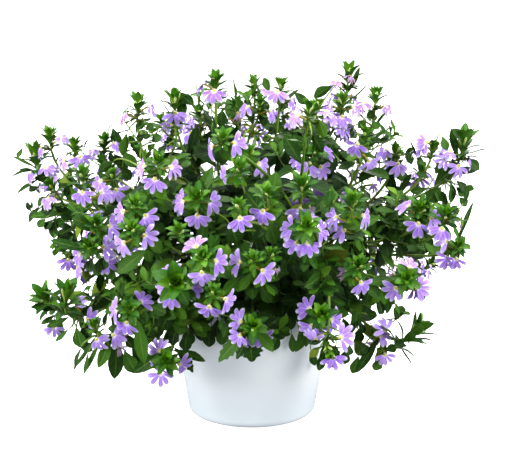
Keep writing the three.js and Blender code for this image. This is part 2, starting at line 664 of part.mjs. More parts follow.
// A stem or branch, three-sided and tapering, which opens into the crown of its leafy tip.
function stemAndCrown({ curve, steps, joints }, head, startRadius) {
  const points = [];
  const faces = [[0, 2, 1]];
  let across = squareTo(SECTION_START, curve.getTangent(0));
  joints.forEach((joint, step) => {
    const tangent = step < steps ? curve.getTangent(step / steps) : head.axis;
    const radius = startRadius + ((STEM.neckRadius - startRadius) * step) / steps;
    across = squareTo(across, tangent);
    points.push(...triangleRing(joint, across, tangent, radius));
    if (step > 0) faces.push(...ringWall(step * 3 - 3, step * 3));
  });
  const centre = points.length;
  const outline = crownOutline(head);
  points.push(combine([head.neck, 1], [head.axis, CROWN.thickness]), ...outline);
  faces.push(...flare(points, centre - 3, centre + 1), ...fanFaces(centre, centre + 1, outline.length));
  return solidOf(points, faces);
}

// A bloom: five petals on one side of the throat, each with a blunt tip, on a slender tube.
function bloomSolid({ foot, throat, middle, normal, radius }) {
  const side = normal.clone().cross(middle);
  const half = BLOOM.thickness / 2;
  const at = (angle, reach, lift) => combine(
    [throat, 1],
    [middle, reach * Math.cos(radians(angle))],
    [side, reach * Math.sin(radians(angle))],
    [normal, lift],
  );
  const points = [
    foot,
    ...triangleRing(at(0, 0, -half), middle, normal, BLOOM.throatRadius),
    at(0, 0, half),
    at(180, BLOOM.heel, 0),
  ];
  for (let petal = -2; petal <= 2; petal += 1) {
    const angle = petal * BLOOM.spread;
    points.push(at(angle - BLOOM.tipHalf, radius * 0.97, -BLOOM.tipSag));
    points.push(at(angle + BLOOM.tipHalf, radius, -BLOOM.tipSag));
    if (petal < 2) points.push(at(angle + BLOOM.spread / 2, radius * BLOOM.notch, 0));
  }
  const tube = [[0, 2, 1], [0, 3, 2], [0, 1, 3]];
  return solidOf(points, [...tube, ...flare(points, 1, 5), ...fanFaces(4, 5, points.length - 5)]);
}

// Leaf outlines as [part of the length, part of the half width], from base to tip.
const PLAIN_EDGE = [[0.5, 1]];
const FULL_EDGE = [[0.38, 0.9], [0.74, 0.86]];
const TOOTHED_EDGE = [[0.34, 0.8], [0.52, 1.08], [0.58, 0.78], [0.74, 0.88], [0.8, 0.52]];

// A leaf: a blade with a ridge above and a keel below its midrib, and a sharp edge.
function leafSolid({ base, way, normal, length, width, bend, teeth }) {
  const side = normal.clone().cross(way);
  const edge = teeth ? TOOTHED_EDGE : width > LEAF.broad ? FULL_EDGE : PLAIN_EDGE;
  const at = (along, across, lift) => combine(
    [base, 1],
    [way, length * along],
    [side, (across * width) / 2],
    [normal, lift - bend * length * along * along],
  );
  const points = [at(0, 0, 0)];
  edge.forEach(([along, across]) => {
    const half = (LEAF.thickness / 2) * (0.6 + 0.4 * across);
    points.push(at(along, across, 0), at(along, 0, half), at(along, -across, 0), at(along, 0, -half));
  });
  points.push(at(1, 0, 0));
  const last = points.length - 1;
  const faces = [];
  for (let corner = 0; corner < 4; corner += 1) {
    const next = (corner + 1) % 4;
    faces.push([0, 1 + next, 1 + corner], [last, last - 4 + corner, last - 4 + next]);
    for (let low = 1; low < last - 4; low += 4) {
      const high = low + 4;
      faces.push([low + corner, low + next, high + next], [low + corner, high + next, high + corner]);
    }
  }
  return solidOf(points, faces);
}

// One leafy stem with all that grows on it, fused into one body.
function stemSolid({ lines, heads, blooms, leaves }) {
  const shoots = lines.map((line, index) => (
    stemAndCrown(line, heads[index], index ? STEM.branchRadius : STEM.baseRadius)
  ));
  const grown = [...blooms.filter(Boolean).map(bloomSolid), ...leaves.filter(Boolean).map(leafSolid)];
  return wasm.Manifold.union([...shoots, ...grown]);
}

// A round body from its outline of [radius, height] points, which starts and ends on the axis.
function turned(outline, sides) {
  const profile = outline.map(([radius, height]) => new THREE.Vector2(radius, height));
  return solidOfGeometry(new THREE.LatheGeometry(profile, sides).rotateX(Math.PI / 2));
}

// The cover pot's outline goes up the outside, over the rim and down the inside.
function coverPot() {
  const { height, footRadius, rimRadius, footRound, wall, floor, sides } = COVER;
  const slope = (rimRadius - footRadius) / height;
  const outside = (level) => footRadius + slope * level;
  const bend = footRound * 0.3;
  return turned([
    [0, 0],
    [footRadius - footRound * 0.8, 0],
    [outside(bend) - bend * 0.9, bend * 0.8],
    [outside(footRound), footRound],
    [rimRadius - 0.4, height - 1],
    [rimRadius - 1.4, height],
    [rimRadius - wall, height],
    [outside(footRound) - wall - 3, floor + 5],
    [footRadius - wall - 7, floor],
    [0, floor],
  ], sides);
}

// The nursery pot's wall steps out into a rolled lip below its rim.
const LIP_STEP = NURSERY.height - NURSERY.lipHeight + 1.5;

function nurseryPot() {
  const { foot, height, footRadius, rimRadius, wall, floor, lipOut, lipHeight, sides } = NURSERY;
  const shell = turned([
    [0, foot],
    [footRadius, foot],
    [rimRadius - 1, height - lipHeight],
    [rimRadius + lipOut, height - lipHeight],
    [rimRadius + lipOut, height],
    [rimRadius + lipOut - wall, height],
    [rimRadius - wall, LIP_STEP],
    [footRadius - wall, foot + floor],
    [0, foot + floor],
  ], sides);
  const drains = Array.from({ length: DRAIN.count }, (_, place) => {
    const angle = ((place + 0.5) * 2 * Math.PI) / DRAIN.count;
    const hole = new THREE.CylinderGeometry(DRAIN.radius, DRAIN.radius, 6 * floor, 6);
    hole.rotateX(Math.PI / 2);
    hole.translate(DRAIN.ring * Math.cos(angle), DRAIN.ring * Math.sin(angle), foot);
    return solidOfGeometry(hole);
  });
  return shell.subtract(wasm.Manifold.union(drains));
}

// A plain blind hole in the soil, along the first step of a stem.
function rootHole({ lines: [{ curve, joints: [foot, next] }] }) {
  const tangent = curve.getTangent(0);
  const across = squareTo(SECTION_START, tangent);
  const way = combine([next, 1], [foot, -1]).normalize();
  const radius = STEM.baseRadius + SOIL.holeSlack;
  const points = [
    ...triangleRing(combine([foot, 1], [way, -SOIL.gap]), across, tangent, radius),
    ...triangleRing(combine([foot, 1], [way, SOIL.holeDepth + 4]), across, tangent, radius),
  ];
  return solidOf(points, [[0, 2, 1], ...ringWall(0, 3), [3, 4, 5]]);
}

// Soil fills the nursery pot to its level, a small gap inside the wall.
function soilBody(stems) {
  const { foot, footRadius, rimRadius, wall, floor, sides } = NURSERY;
  const bottom = foot + floor + SOIL.gap;
  const slope = (rimRadius - footRadius) / (LIP_STEP - foot - floor);
  const inside = (level) => footRadius - wall + slope * (level - foot - floor) - SOIL.gap;
  const body = turned([
    [0, bottom],
    [inside(bottom) - 0.2, bottom],
    [inside(SOIL.top - 2) - 0.2, SOIL.top - 2],
    [inside(SOIL.top) - 4, SOIL.top],
    [0, SOIL.top],
  ], sides);
  return body.subtract(wasm.Manifold.union(stems.map(rootHole)));
}

const stems = planPlant();
const plant = new THREE.Group();
plant.add(meshOf(coverPot(), 'cover_pot', 0xe6edf0, 0.35));
plant.add(meshOf(nurseryPot(), 'nursery_pot', 0x5a1512, 0.6));
plant.add(meshOf(soilBody(stems), 'soil', 0x2a1c12, 1));
stems.forEach((stem) => {
  const name = `leafy_stem_${String(stem.number).padStart(2, '0')}`;
  plant.add(meshOf(stemSolid(stem), name, 0x4f7a2a, 0.7));
});

export default plant;
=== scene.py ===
"""Potted fan flower: a bushy trailing plant with one-sided lilac blooms, in a smooth white cover pot.

The plan works out the places of the solids again, in millimetres: stems, leafy tips, blooms and
leaves. Then more leaves and blooms fill the plant. Meshes are made in metres: one piece for each leafy
stem, one for each pot and one for the soil.
"""

import itertools

import bpy
import mathutils
import numpy as np
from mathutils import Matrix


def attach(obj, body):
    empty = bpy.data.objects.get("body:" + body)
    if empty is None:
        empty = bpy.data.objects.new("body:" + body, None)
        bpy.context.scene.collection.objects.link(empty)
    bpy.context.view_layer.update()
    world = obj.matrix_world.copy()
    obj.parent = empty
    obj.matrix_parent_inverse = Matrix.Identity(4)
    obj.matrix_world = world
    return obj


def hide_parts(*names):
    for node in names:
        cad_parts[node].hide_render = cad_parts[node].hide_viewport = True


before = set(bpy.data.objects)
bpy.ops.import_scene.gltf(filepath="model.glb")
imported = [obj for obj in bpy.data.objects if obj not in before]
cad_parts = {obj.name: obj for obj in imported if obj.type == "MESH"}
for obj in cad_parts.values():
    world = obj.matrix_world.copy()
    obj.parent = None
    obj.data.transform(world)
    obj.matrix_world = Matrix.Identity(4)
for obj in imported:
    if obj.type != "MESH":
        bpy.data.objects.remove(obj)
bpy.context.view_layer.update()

MM = 0.001

# The full turn that random phases and the soil's waves were shaped with.
ROUND = 6.28

# Sizes of the pots, the soil and what grows, in millimetres.
COVER = {"height": 118, "foot_radius": 58.8, "rim_radius": 77.2, "wall": 3.2, "floor": 4}
NURSERY = {
    "foot": 4.3, "height": 128, "foot_radius": 47, "rim_radius": 66, "wall": 1.4, "floor": 2,
    "lip_out": 2.4, "lip_height": 10,
}
DRAIN = {"count": 4, "radius": 4, "ring": 30}
SOIL = {"top": 117.5, "gap": 0.35, "hole_depth": 8}
STEM = {"steps": 5, "branch_steps": 3, "root_ring": 54}
BLOOM = {"tube": 11.5, "tube_rise": 25, "radius": 12.8, "spread": 36}
CROWN = {"closed_reach": 0.42, "open_reach": 0.75, "fully_open": 70}
LEAF = {"length": 33, "width": 14, "narrow": 6, "longest": 52}
CLEARANCE = {"stem": 4.8, "others": 4.2, "own": 2.4, "pot": 3.5, "bloom_to_pot": 2.5, "leaf_to_pot": 2}

# The foliage fills a flattened ball round the pot: its middle height and its half axes.
DOME = {"middle": 178, "half": np.array([205.0, 190.0, 147.0])}

# Near stems stand in front of and behind each other by these steps in turn, high ones by larger steps.
STAGGER = {"low": [0, 14, -8, 22, 6], "high": [8, 62, 0, 95, 34], "high_from": 235, "beside": 28}

# The view that the heads below are given in: the eye, and how far it looks down.
EYE = np.array([0.0, -1462.0, 506.0])
LOOK_DOWN = np.radians(13)

# Heads, the leafy stem tips. Each row gives the stem that carries it, its neck as seen in the upright
# plane through the pot's axis (across, up), its lean in that view (degrees clockwise from upright), how
# far it turns its face to the viewer (degrees), the length of its leafy tip, and its blooms as
# [turn round the stem, distance below the neck, size]. Turn 0 is the viewer's side, 90 the right.
HEADS = [
    [1, -197, 238, -3, 10, 20, [[10, 27], [-60, 12]]], [2, -184, 257, -3, 5, 14, [[70, 5], [-70, 8]]],
    [2, -162, 249, 0, 5, 12, [[30, 9], [-60, 14]]], [3, -135, 252, 4, 5, 13, [[-60, 6], [75, 4]]],
    [3, -128, 222, 0, 20, 10, [[10, 11], [-60, 2]]], [4, -155, 222, -5, 20, 13, [[-20, 12], [70, 17]]],
    [5, -104, 287, 2, 5, 14, [[80, 4], [-75, 9]]], [6, -70, 289, 0, 8, 16, [[0, 9], [75, 7]]],
    [7, -33, 307, 0, 8, 14, [[-5, 6], [-110, 4]]], [8, 2, 305, -5, 5, 12, [[70, 5]]],
    [8, 7, 289, 3, 15, 10, [[-70, 6], [80, 8]]], [9, 26, 304, 3, 10, 12, [[-15, 4], [75, 4]]],
    [10, 52, 282, 8, 10, 13, [[-60, 6], [-100, 10, 0.7]]], [11, 87, 313, 4, 5, 17, [[-60, 10]]],
    [11, 82, 290, 0, 25, 13, [[-75, 6], [5, 8], [70, 5]]], [12, 112, 294, 2, 5, 13, [[60, 8], [-60, 8]]],
    [12, 103, 260, 10, 10, 10, [[-30, 8], [20, 20]]], [13, 131, 246, 3, 5, 10, [[-60, 5], [10, 4]]],
    [14, 165, 247, 10, 10, 11, [[-70, 6]]], [15, 192, 250, 5, 15, 20, [[-60, 12], [20, 20], [80, 10]]],
    [16, 155, 190, 3, 40, 13, [[0, 8], [-120, 8], [115, 10]]],
    [17, 178, 184, 8, 40, 12, [[-5, 7], [120, 5]]], [18, 190, 157, 30, 60, 10, [[-80, 7], [0, 8]]],
    [19, 143, 126, 20, 72, 12, [[180, 6], [-25, 8], [75, 7], [-95, 6, 0.6]]],
    [20, 146, 70, 50, 5, 24, [[-90, 25], [90, 28]]],
    [21, 65, 91, 10, 68, 12, [[-110, 8], [-25, 12], [20, 12], [80, 9]]],
    [22, 70, 62, 165, 25, 14, [[60, 10]]], [23, 1, 80, 5, 70, 12, [[-110, 7], [-30, 10], [40, 10]]],
    [24, -80, 46, 10, 65, 12, [[-150, 8], [-20, 9], [75, 8]]],
    [25, -114, 96, 10, 60, 10, [[140, 8], [-15, 10], [-85, 8]]],
    [26, -70, 121, 0, 70, 17, [[-150, 9], [-90, 9], [-35, 10], [80, 10]]],
    [27, -46, 146, 5, 65, 11, [[-150, 5], [85, 7], [0, 10]]],
    [27, -36, 112, 0, 40, 9, [[-10, 7], [60, 5]]],
    [28, -51, 202, 5, 60, 12, [[-85, 8], [85, 6], [5, 9], [-100, 22]]],
    [29, -107, 195, 5, 50, 11, [[-70, 6], [50, 8]]], [30, -111, 172, 3, 55, 11, [[75, 9], [-50, 12]]],
    [31, -143, 177, 0, 50, 11, [[-160, 8], [85, 7], [-100, 6]]],
    [31, -150, 157, -5, 55, 10, [[180, 8], [-70, 6], [85, 9]]], [32, -190, 104, -25, 35, 18, [[-150, 12]]],
    [33, -174, 104, 10, 15, 22, [[-60, 25], [40, 25]]],
    [34, -146, 78, -20, 20, 11, [[-30, 4], [20, 12], [85, 18, 0.7]]],
    [35, -86, 235, 5, 45, 11, [[-85, 7], [80, 6], [-10, 7]]],
    [36, -3, 243, 0, 45, 10, [[170, 6], [60, 9]]], [37, -27, 256, 5, 35, 11, [[-75, 7], [75, 6]]],
    [37, -12, 228, 3, 35, 11, [[-45, 16, 0.8]]],
    [38, 57, 245, 8, 55, 12, [[-15, 8], [50, 9], [130, 10], [-80, 9]]],
    [39, 50, 175, 12, 62, 13, [[-85, 9], [-20, 12], [25, 12], [100, 8], [170, 8]]],
    [40, 93, 196, 0, 35, 13, [[70, 12], [-150, 6, 0.7], [-80, 20]]],
    [41, 98, 137, 5, 50, 13, [[-80, 10, 0.6], [-60, 14, 0.6], [40, 14]]],
    [42, 15, 205, -3, 30, 11, [[-25, 12]]], [42, -12, 194, -5, 30, 9, [[-5, 6]]],
    [43, 46, 211, 2, 35, 14, [[-5, 8], [60, 12, 0.6]]], [44, 1, 143, 5, 50, 10, [[-85, 7], [50, 6]]],
    [44, 17, 148, 0, 30, 9, [[80, 14, 0.6]]], [45, -67, 170, 0, 35, 10, [[70, 22, 0.6]]],
]

# Leaves that show from a step away: the stem, the leaf tip's place in the same view, its width, and 1
# where its rim has teeth.
LARGE_LEAVES = [
    [1, -221, 225, 5], [1, -219, 243, 4], [1, -217, 208, 5], [1, -178, 222, 13], [1, -172, 207, 7],
    [3, -142, 228, 7], [4, -168, 226, 5], [5, -112, 262, 8, 1], [6, -82, 296, 4], [6, -50, 270, 9],
    [7, -49, 294, 4], [7, -44, 286, 7], [7, -58, 284, 5], [8, -16, 298, 9], [9, 43, 305, 3],
    [10, 30, 262, 13], [11, 97, 324, 5], [11, 104, 308, 3], [11, 68, 272, 12], [12, 125, 288, 3],
    [12, 121, 268, 4], [14, 145, 257, 5], [14, 146, 226, 6], [15, 208, 231, 10], [15, 182, 268, 7],
    [15, 215, 250, 4], [15, 186, 232, 13], [17, 204, 184, 4], [17, 182, 198, 13], [16, 162, 202, 13],
    [18, 204, 200, 4], [19, 126, 92, 7], [19, 119, 91, 9], [20, 170, 68, 4], [20, 118, 38, 10],
    [20, 152, 43, 3], [20, 139, 89, 3], [20, 104, 90, 9], [21, 40, 55, 9], [20, 98, 35, 8],
    [22, 65, 38, 6], [21, 50, 60, 8, 1], [23, 0, 45, 19, 1], [23, 20, 56, 10], [23, -15, 48, 9, 1],
    [24, -55, 35, 8, 1], [24, -43, 47, 9], [23, -32, 46, 12, 1], [25, -101, 43, 12], [24, -113, 35, 12],
    [34, -130, 28, 14], [34, -145, 40, 10], [33, -163, 60, 12], [34, -170, 38, 4], [34, -160, 33, 4],
    [32, -206, 112, 8, 1], [32, -206, 100, 8, 1], [33, -152, 96, 8], [31, -186, 164, 9],
    [31, -165, 185, 13], [1, -192, 190, 13], [28, -36, 232, 10], [7, -54, 252, 10], [37, 6, 215, 10],
    [42, 22, 228, 13], [40, 118, 186, 9], [41, 82, 158, 9], [43, 62, 192, 12], [42, -6, 210, 11],
    [45, -50, 168, 8], [44, -22, 152, 11], [44, 5, 128, 8], [26, -52, 106, 9], [26, -85, 114, 12],
    [38, 38, 262, 13],
]

# The far side: tiers as (how many stems, the levels of their two heads over the dome's middle), evenly
# spread, a stem's second head a little farther round. Levels and leans vary by up to half of what is
# given, either way, and higher heads stand more upright. Turns in degrees.
FAR = {
    "tiers": [(7, [-20, 14]), (5, [38, 66])], "first": 5, "last": 175, "within": 0.93,
    "side_steps": [0, 11], "level_varies": 8, "lean_varies": 24, "face_low": 60, "face_less": 50,
    "tip": 11, "blooms": [[-60, 8], [55, 9]], "seed": 4,
}

# Far heads end below this line, [across, up] in the same view, so that near heads stand out above them.
SKYLINE = np.array([
    [-220, 215], [-178, 240], [-118, 252], [-90, 283], [-17, 301], [100, 299], [136, 248], [173, 248],
    [215, 220],
])
SKYLINE_GAP = 3

UP = np.array([0.0, 0.0, 1.0])

# The turn from one leaf to the next up a stem, in degrees.
GOLDEN_TURN = 137.5

# How much more a stem sways with each try, how far apart its points are tested, and how far from the
# main stem's head a branch starts.
WAY = {"sway": 1.2, "spacing": 3, "branch_from_head": 45}


def seeded_draws(seed):
    """Draws from 0 to 1: each state is 1664525 times the last, plus 1013904223, modulo 2 to the 32."""
    state = seed
    while True:
        state = (state * 1664525 + 1013904223) % 4294967296
        yield state / 4294967296


def vec(x, y, z):
    """A point or a direction."""
    return np.array([x, y, z], float)


def unit(vectors):
    """Each vector divided by its own length."""
    return vectors / np.linalg.norm(vectors, axis=-1, keepdims=True)


def square_to(direction, other):
    """The part of a direction that stands square to a unit direction, at unit length."""
    return unit(direction - np.sum(direction * other, -1, keepdims=True) * other)


def in_view(across, up, y):
    """The point on the sight line through (across, up) that stands so far along Y."""
    sight = vec(across, 0, up) - EYE
    return EYE + sight * (y - EYE[1]) / sight[1]


def depth_on_dome(across, up):
    """How far along Y that sight line meets the dome, or passes nearest to its middle.

    In the dome's own scale it is a ball of radius 1, so the place solves a square equation.
    """
    sight = vec(across, 0, up) - EYE
    start = (EYE - DOME["middle"] * UP) / DOME["half"]
    run = sight / DOME["half"]
    a = run @ run
    b = start @ run
    room = max(b * b - a * (start @ start - 1), 0)
    return EYE[1] + sight[1] * (-b - np.sqrt(room)) / a


def head_frame(lean, face, right, up, toward):
    """A head's axis, the side below it that faces the viewer, and its right side."""
    lean, face = np.radians(lean), np.radians(face)
    upright = up * np.cos(lean) + right * np.sin(lean)
    return {
        "axis": upright * np.cos(face) + toward * np.sin(face),
        "below": toward * np.cos(face) - upright * np.sin(face),
        "side": right * np.cos(lean) - up * np.sin(lean),
    }


def near_heads():
    """The heads that the table gives, each on its sight line at the dome."""
    toward = vec(0, -np.cos(LOOK_DOWN), np.sin(LOOK_DOWN))
    up = vec(0, np.sin(LOOK_DOWN), np.cos(LOOK_DOWN))
    first_depths = {}
    heads = []
    for stem, across, height, lean, face, tip, blooms in HEADS:
        steps = STAGGER["high" if height > STAGGER["high_from"] else "low"]
        depth = depth_on_dome(across, height) + steps[stem % len(steps)]
        first = first_depths.setdefault(stem, depth)
        near = min(max(depth, first - STAGGER["beside"]), first + STAGGER["beside"])
        heads.append({
            "stem": stem,
            "neck": in_view(across, height, near),
            **head_frame(lean, face, vec(1, 0, 0), up, toward),
            "openness": face,
            "tip": tip,
            "blooms": blooms,
        })
    return heads


def below_skyline(neck, tip):
    """A neck lowered until its leafy tip, seen from the eye, ends below the skyline."""
    scale = EYE[1] / (EYE[1] - neck[1])
    seen_up = EYE[2] + (neck[2] + tip - EYE[2]) * scale
    skyline = np.interp(neck[0] * scale, *SKYLINE.T)
    excess = max(seen_up + SKYLINE_GAP - skyline, 0)
    return neck - UP * excess / scale


def far_heads(first_stem):
    """Heads on the far half of the dome, leaning and standing a little unevenly."""
    draws = seeded_draws(FAR["seed"])
    heads = []
    number = 0
    for count, levels in FAR["tiers"]:
        for place in range(count):
            azimuth = FAR["first"] + (FAR["last"] - FAR["first"]) * (place + 0.5) / count
            for index, wanted_level in enumerate(levels):
                turn = np.radians(azimuth + FAR["side_steps"][index])
                level = np.radians(wanted_level + FAR["level_varies"] * (next(draws) - 0.5))
                outward = vec(np.cos(turn), np.sin(turn), 0)
                on_ball = outward * np.cos(level) + UP * np.sin(level)
                on_dome = DOME["middle"] * UP + FAR["within"] * DOME["half"] * on_ball
                neck = below_skyline(on_dome, FAR["tip"])
                face = FAR["face_low"] - FAR["face_less"] * (neck[2] - 100) / 220
                lean = FAR["lean_varies"] * (next(draws) - 0.5)
                heads.append({
                    "stem": first_stem + number,
                    "neck": neck,
                    **head_frame(lean, face, np.cross(UP, outward), UP, outward),
                    "openness": face,
                    "tip": FAR["tip"],
                    "blooms": FAR["blooms"][: 1 + (number + index) % 2],
                })
            number += 1
    return heads


class Crowd:
    """What is placed so far, as points with the stem that they belong to, so that stems keep apart.

    They are kept by the cells of a coarse grid, so that only near ones are met.
    """

    ROOM = 150000
    CELL = 14

    def __init__(self):
        self.points = np.empty((self.ROOM, 3))
        self.stems = np.empty(self.ROOM, int)
        self.own_gaps = np.empty(self.ROOM)
        self.count = 0
        self.cells = {}

    def add(self, points, stem, own_gap):
        """Keeps points of a stem; on the same stem, others keep only the own gap from them."""
        rows = slice(self.count, self.count + len(points))
        self.points[rows] = points
        self.stems[rows] = stem
        self.own_gaps[rows] = own_gap
        for row, cell in enumerate((points // self.CELL).astype(int).tolist(), self.count):
            self.cells.setdefault(tuple(cell), []).append(row)
        self.count += len(points)

    def is_clear(self, points, stem, gap=CLEARANCE["others"]):
        """True where no placed point is nearer than the gap, or than its own gap on the same stem."""
        low = ((points.min(0) - gap) // self.CELL).astype(int)
        high = ((points.max(0) + gap) // self.CELL).astype(int)
        near = []
        for cell in itertools.product(*(range(first, last + 1) for first, last in zip(low, high))):
            near += self.cells.get(cell, ())
        if not near:
            return True
        least = np.where(self.stems[near] == stem, self.own_gaps[near], gap)
        apart = ((points[:, None] - self.points[near]) ** 2).sum(-1)
        return not (apart < least**2).any()


def in_pot(points, margin):
    """True where any point lies in the pots or the soil, or nearer to them than the margin."""
    x, y, z = points.T
    radius = np.hypot(x, y)
    rise = (COVER["rim_radius"] - COVER["foot_radius"]) / COVER["height"]
    wall_radius = COVER["foot_radius"] + rise * z
    lip_radius = NURSERY["rim_radius"] + NURSERY["lip_out"]
    mouth = NURSERY["rim_radius"] - 5
    inside_cover = (z < COVER["height"] + margin) & (radius < wall_radius + margin)
    at_wall = (radius > mouth - 1) | (z < SOIL["top"] + 2)
    at_lip = (z < NURSERY["height"] + margin) & (radius > mouth) & (radius < lip_radius + margin)
    return bool(((z < 3) | np.where(inside_cover, at_wall, at_lip)).any())


def settle(points, number, crowd, pot_gap):
    """True where points are clear of the pots and of other stems, and so are placed."""
    if in_pot(points, pot_gap) or not crowd.is_clear(points, number):
        return False
    crowd.add(points, number, CLEARANCE["own"])
    return True


def settle_stem(line, number, crowd, above=-np.inf):
    """The same for a stem, which is tested for the pots only above a height."""
    points = line.samples(WAY["spacing"])
    in_open = points[points[:, 2] > above]
    if in_pot(in_open, CLEARANCE["pot"]) or not crowd.is_clear(points, number, CLEARANCE["stem"]):
        return False
    crowd.add(points, number, 0)
    return True


class CentreLine:
    """A stem's centre line: a cubic curve, and the straight steps of the solids along it."""

    def __init__(self, controls, steps):
        self.controls = controls
        self.steps = steps
        self.joints = self.curve(np.arange(steps + 1) / steps)
        self.lengths = np.linalg.norm(np.diff(self.joints, axis=0), axis=1)
        self.total = self.lengths.sum()

    def curve(self, t):
        """The control points weighted by (1-t)^3, 3(1-t)^2 t, 3(1-t) t^2 and t^3."""
        t = np.asarray(t, float)[..., None]
        a, b, c, d = self.controls
        return (1 - t) ** 3 * a + 3 * (1 - t) ** 2 * t * b + 3 * (1 - t) * t * t * c + t**3 * d

    def locate(self, distance):
        """The straight step that a distance from the start falls in, and what is left of it there."""
        index = 0
        while index < self.steps - 1 and distance > self.lengths[index]:
            distance -= self.lengths[index]
            index += 1
        return index, distance

    def at(self, distance):
        """The point and the direction on the straight steps."""
        index, left = self.locate(distance)
        step = (self.joints[index + 1] - self.joints[index]) / self.lengths[index]
        return self.joints[index] + step * left, step

    def rounded(self, distance):
        """The point on the smooth curve beside it."""
        index, left = self.locate(distance)
        return self.curve(min((index + left / self.lengths[index]) / self.steps, 1))

    def distances(self, spacing):
        """Even distances from start to end, as near to the spacing as they divide the line."""
        count = int(np.floor(self.total / spacing + 0.5))
        return self.total * np.arange(count + 1) / count

    def samples(self, spacing):
        """Points on the straight steps at those distances."""
        return np.array([self.at(distance)[0] for distance in self.distances(spacing)])


def root_place(index, count):
    """Root places in the soil, spread like seeds in a sunflower."""
    radius = STEM["root_ring"] * np.sqrt((index + 0.5) / count)
    angle = index * np.pi * (3 - np.sqrt(5))
    height = SOIL["top"] - SOIL["hole_depth"] + SOIL["gap"]
    return vec(radius * np.cos(angle), radius * np.sin(angle), height)


def assign_roots(stems):
    """Each stem takes the free root place nearest to where its head points, the lowest heads first."""
    places = [root_place(index, len(stems)) for index in range(len(stems))]

    def polar(stem):
        """How far a stem's head leans out from straight up, in radians."""
        x, y, z = stem["heads"][0]["neck"]
        return np.arctan2(np.hypot(x, y), z - SOIL["top"] + 30)

    for stem in sorted(stems, key=polar, reverse=True):
        x, y, _ = stem["heads"][0]["neck"]
        reach = STEM["root_ring"] * polar(stem) / np.radians(115) / np.hypot(x, y)
        wish = vec(x * reach, y * reach, places[0][2])
        nearest = min(range(len(places)), key=lambda place: np.sum((places[place] - wish) ** 2))
        stem["root"] = places.pop(nearest)


def grow_main(stem, draws, crowd):
    """A main stem rises from its root, arches over the rim where its head is low, and ends in its neck."""
    head = stem["heads"][0]
    neck, root = head["neck"], stem["root"]
    span = np.linalg.norm(neck - root)
    rise = vec(0, 0, max(0.45 * span, 55))
    outward = vec(neck[0], neck[1], 0) * 0.12
    for attempt in range(90):
        sways = [WAY["sway"] * attempt * (next(draws) - 0.5) for _ in range(5)]
        lift = vec(0, 0, 2 * attempt * (1 if neck[2] < 150 else 0.15))
        first = root + rise + outward + lift + vec(sways[0], sways[1], 0)
        second = neck - head["axis"] * 0.34 * span + lift * 0.7 + vec(*sways[2:])
        line = CentreLine((root, first, second, neck), STEM["steps"])
        if settle_stem(line, stem["number"], crowd, SOIL["top"] + 3):
            return line
    raise RuntimeError(f"stem {stem['number']} finds no way to its head")


def grow_branch(main, head, number, draws, crowd):
    """A side branch leaves the main stem some way from its own head, and ends in its neck."""
    starts = main.samples(4)[6:-3]
    apart = np.linalg.norm(starts - head["neck"], axis=1)
    start = starts[np.argmin(np.abs(apart - WAY["branch_from_head"]))]
    span = np.linalg.norm(head["neck"] - start)
    for attempt in range(60):
        sways = [WAY["sway"] * attempt * (next(draws) - 0.5) for _ in range(6)]
        first = start + (head["neck"] - start) * 0.35 + vec(*sways[:3])
        second = head["neck"] - head["axis"] * 0.4 * span + vec(*sways[3:])
        line = CentreLine((start, first, second, head["neck"]), STEM["branch_steps"])
        if settle_stem(line, number, crowd):
            return line
    raise RuntimeError(f"a branch of stem {number} finds no way to its head")


def crown_reach(head):
    """How far the outer bracts reach sideways: more where the head opens to the viewer."""
    opening = (CROWN["open_reach"] - CROWN["closed_reach"]) * head["openness"] / CROWN["fully_open"]
    return head["tip"] * (CROWN["closed_reach"] + opening)


def crown_points(head):
    """Points on a cone that opens from the neck, on four rings of six."""
    ring = np.repeat(np.arange(1, 5), 6)[:, None] / 4
    turn = np.tile(np.arange(6) * np.pi / 3, 4)[:, None]
    out = head["below"] * np.cos(turn) + head["side"] * np.sin(turn)
    return head["neck"] + head["axis"] * head["tip"] * ring + out * crown_reach(head) * ring


def make_bloom(foot, rounded_foot, tangent, out, throat, middle, normal, size):
    """A bloom: its foot, its throat, which way its fan points and faces, and its size."""
    return {
        "foot": foot, "rounded_foot": rounded_foot, "tangent": tangent, "out": out, "throat": throat,
        "middle": middle, "normal": normal, "radius": BLOOM["radius"] * size, "size": size,
    }


def pose_bloom(line, head, turn, drop, size, nudge):
    """A bloom's throat stands off the stem; its fan spreads on the outer side and faces outward."""
    distance = line.total - drop - nudge[1]
    foot, tangent = line.at(distance)
    angle = np.radians(turn + nudge[0])
    out = square_to(head["below"] * np.cos(angle) + head["side"] * np.sin(angle), tangent)
    rise = np.radians(BLOOM["tube_rise"])
    droop = np.radians(62 - 0.52 * head["openness"] + nudge[2])
    tube_way = out * np.cos(rise) + tangent * np.sin(rise)
    throat = foot + tube_way * BLOOM["tube"] * (0.4 + 0.6 * size)
    middle = out * np.cos(droop) - tangent * np.sin(droop)
    normal = out * np.sin(droop) + tangent * np.cos(droop)
    return make_bloom(foot, line.rounded(distance), tangent, out, throat, middle, normal, size)


def bloom_points(bloom):
    """Points on the tube, and on four rings of the half disc that the fan covers."""
    side = np.cross(bloom["normal"], bloom["middle"])
    ring = np.repeat(np.arange(1, 5), 9)[:, None] / 4
    angle = np.radians(np.tile(np.arange(-80, 81, 20), 4))[:, None]
    out = bloom["middle"] * np.cos(angle) + side * np.sin(angle)
    tube = [bloom["foot"] + (bloom["throat"] - bloom["foot"]) * part for part in (0.5, 0.8)]
    return np.vstack([tube, bloom["throat"] + out * bloom["radius"] * ring])


# A bloom that would cross another stem's foliage is turned, raised or lowered a little.
BLOOM_NUDGES = [
    (turn, drop, droop)
    for turn in (0, 8, -8, 16, -16, 26, -26, 40, -40, 60, -60)
    for drop, droop in ((0, 0), (0, 14), (0, -14), (5, 0), (-3, 0), (9, 10), (5, -16))
]


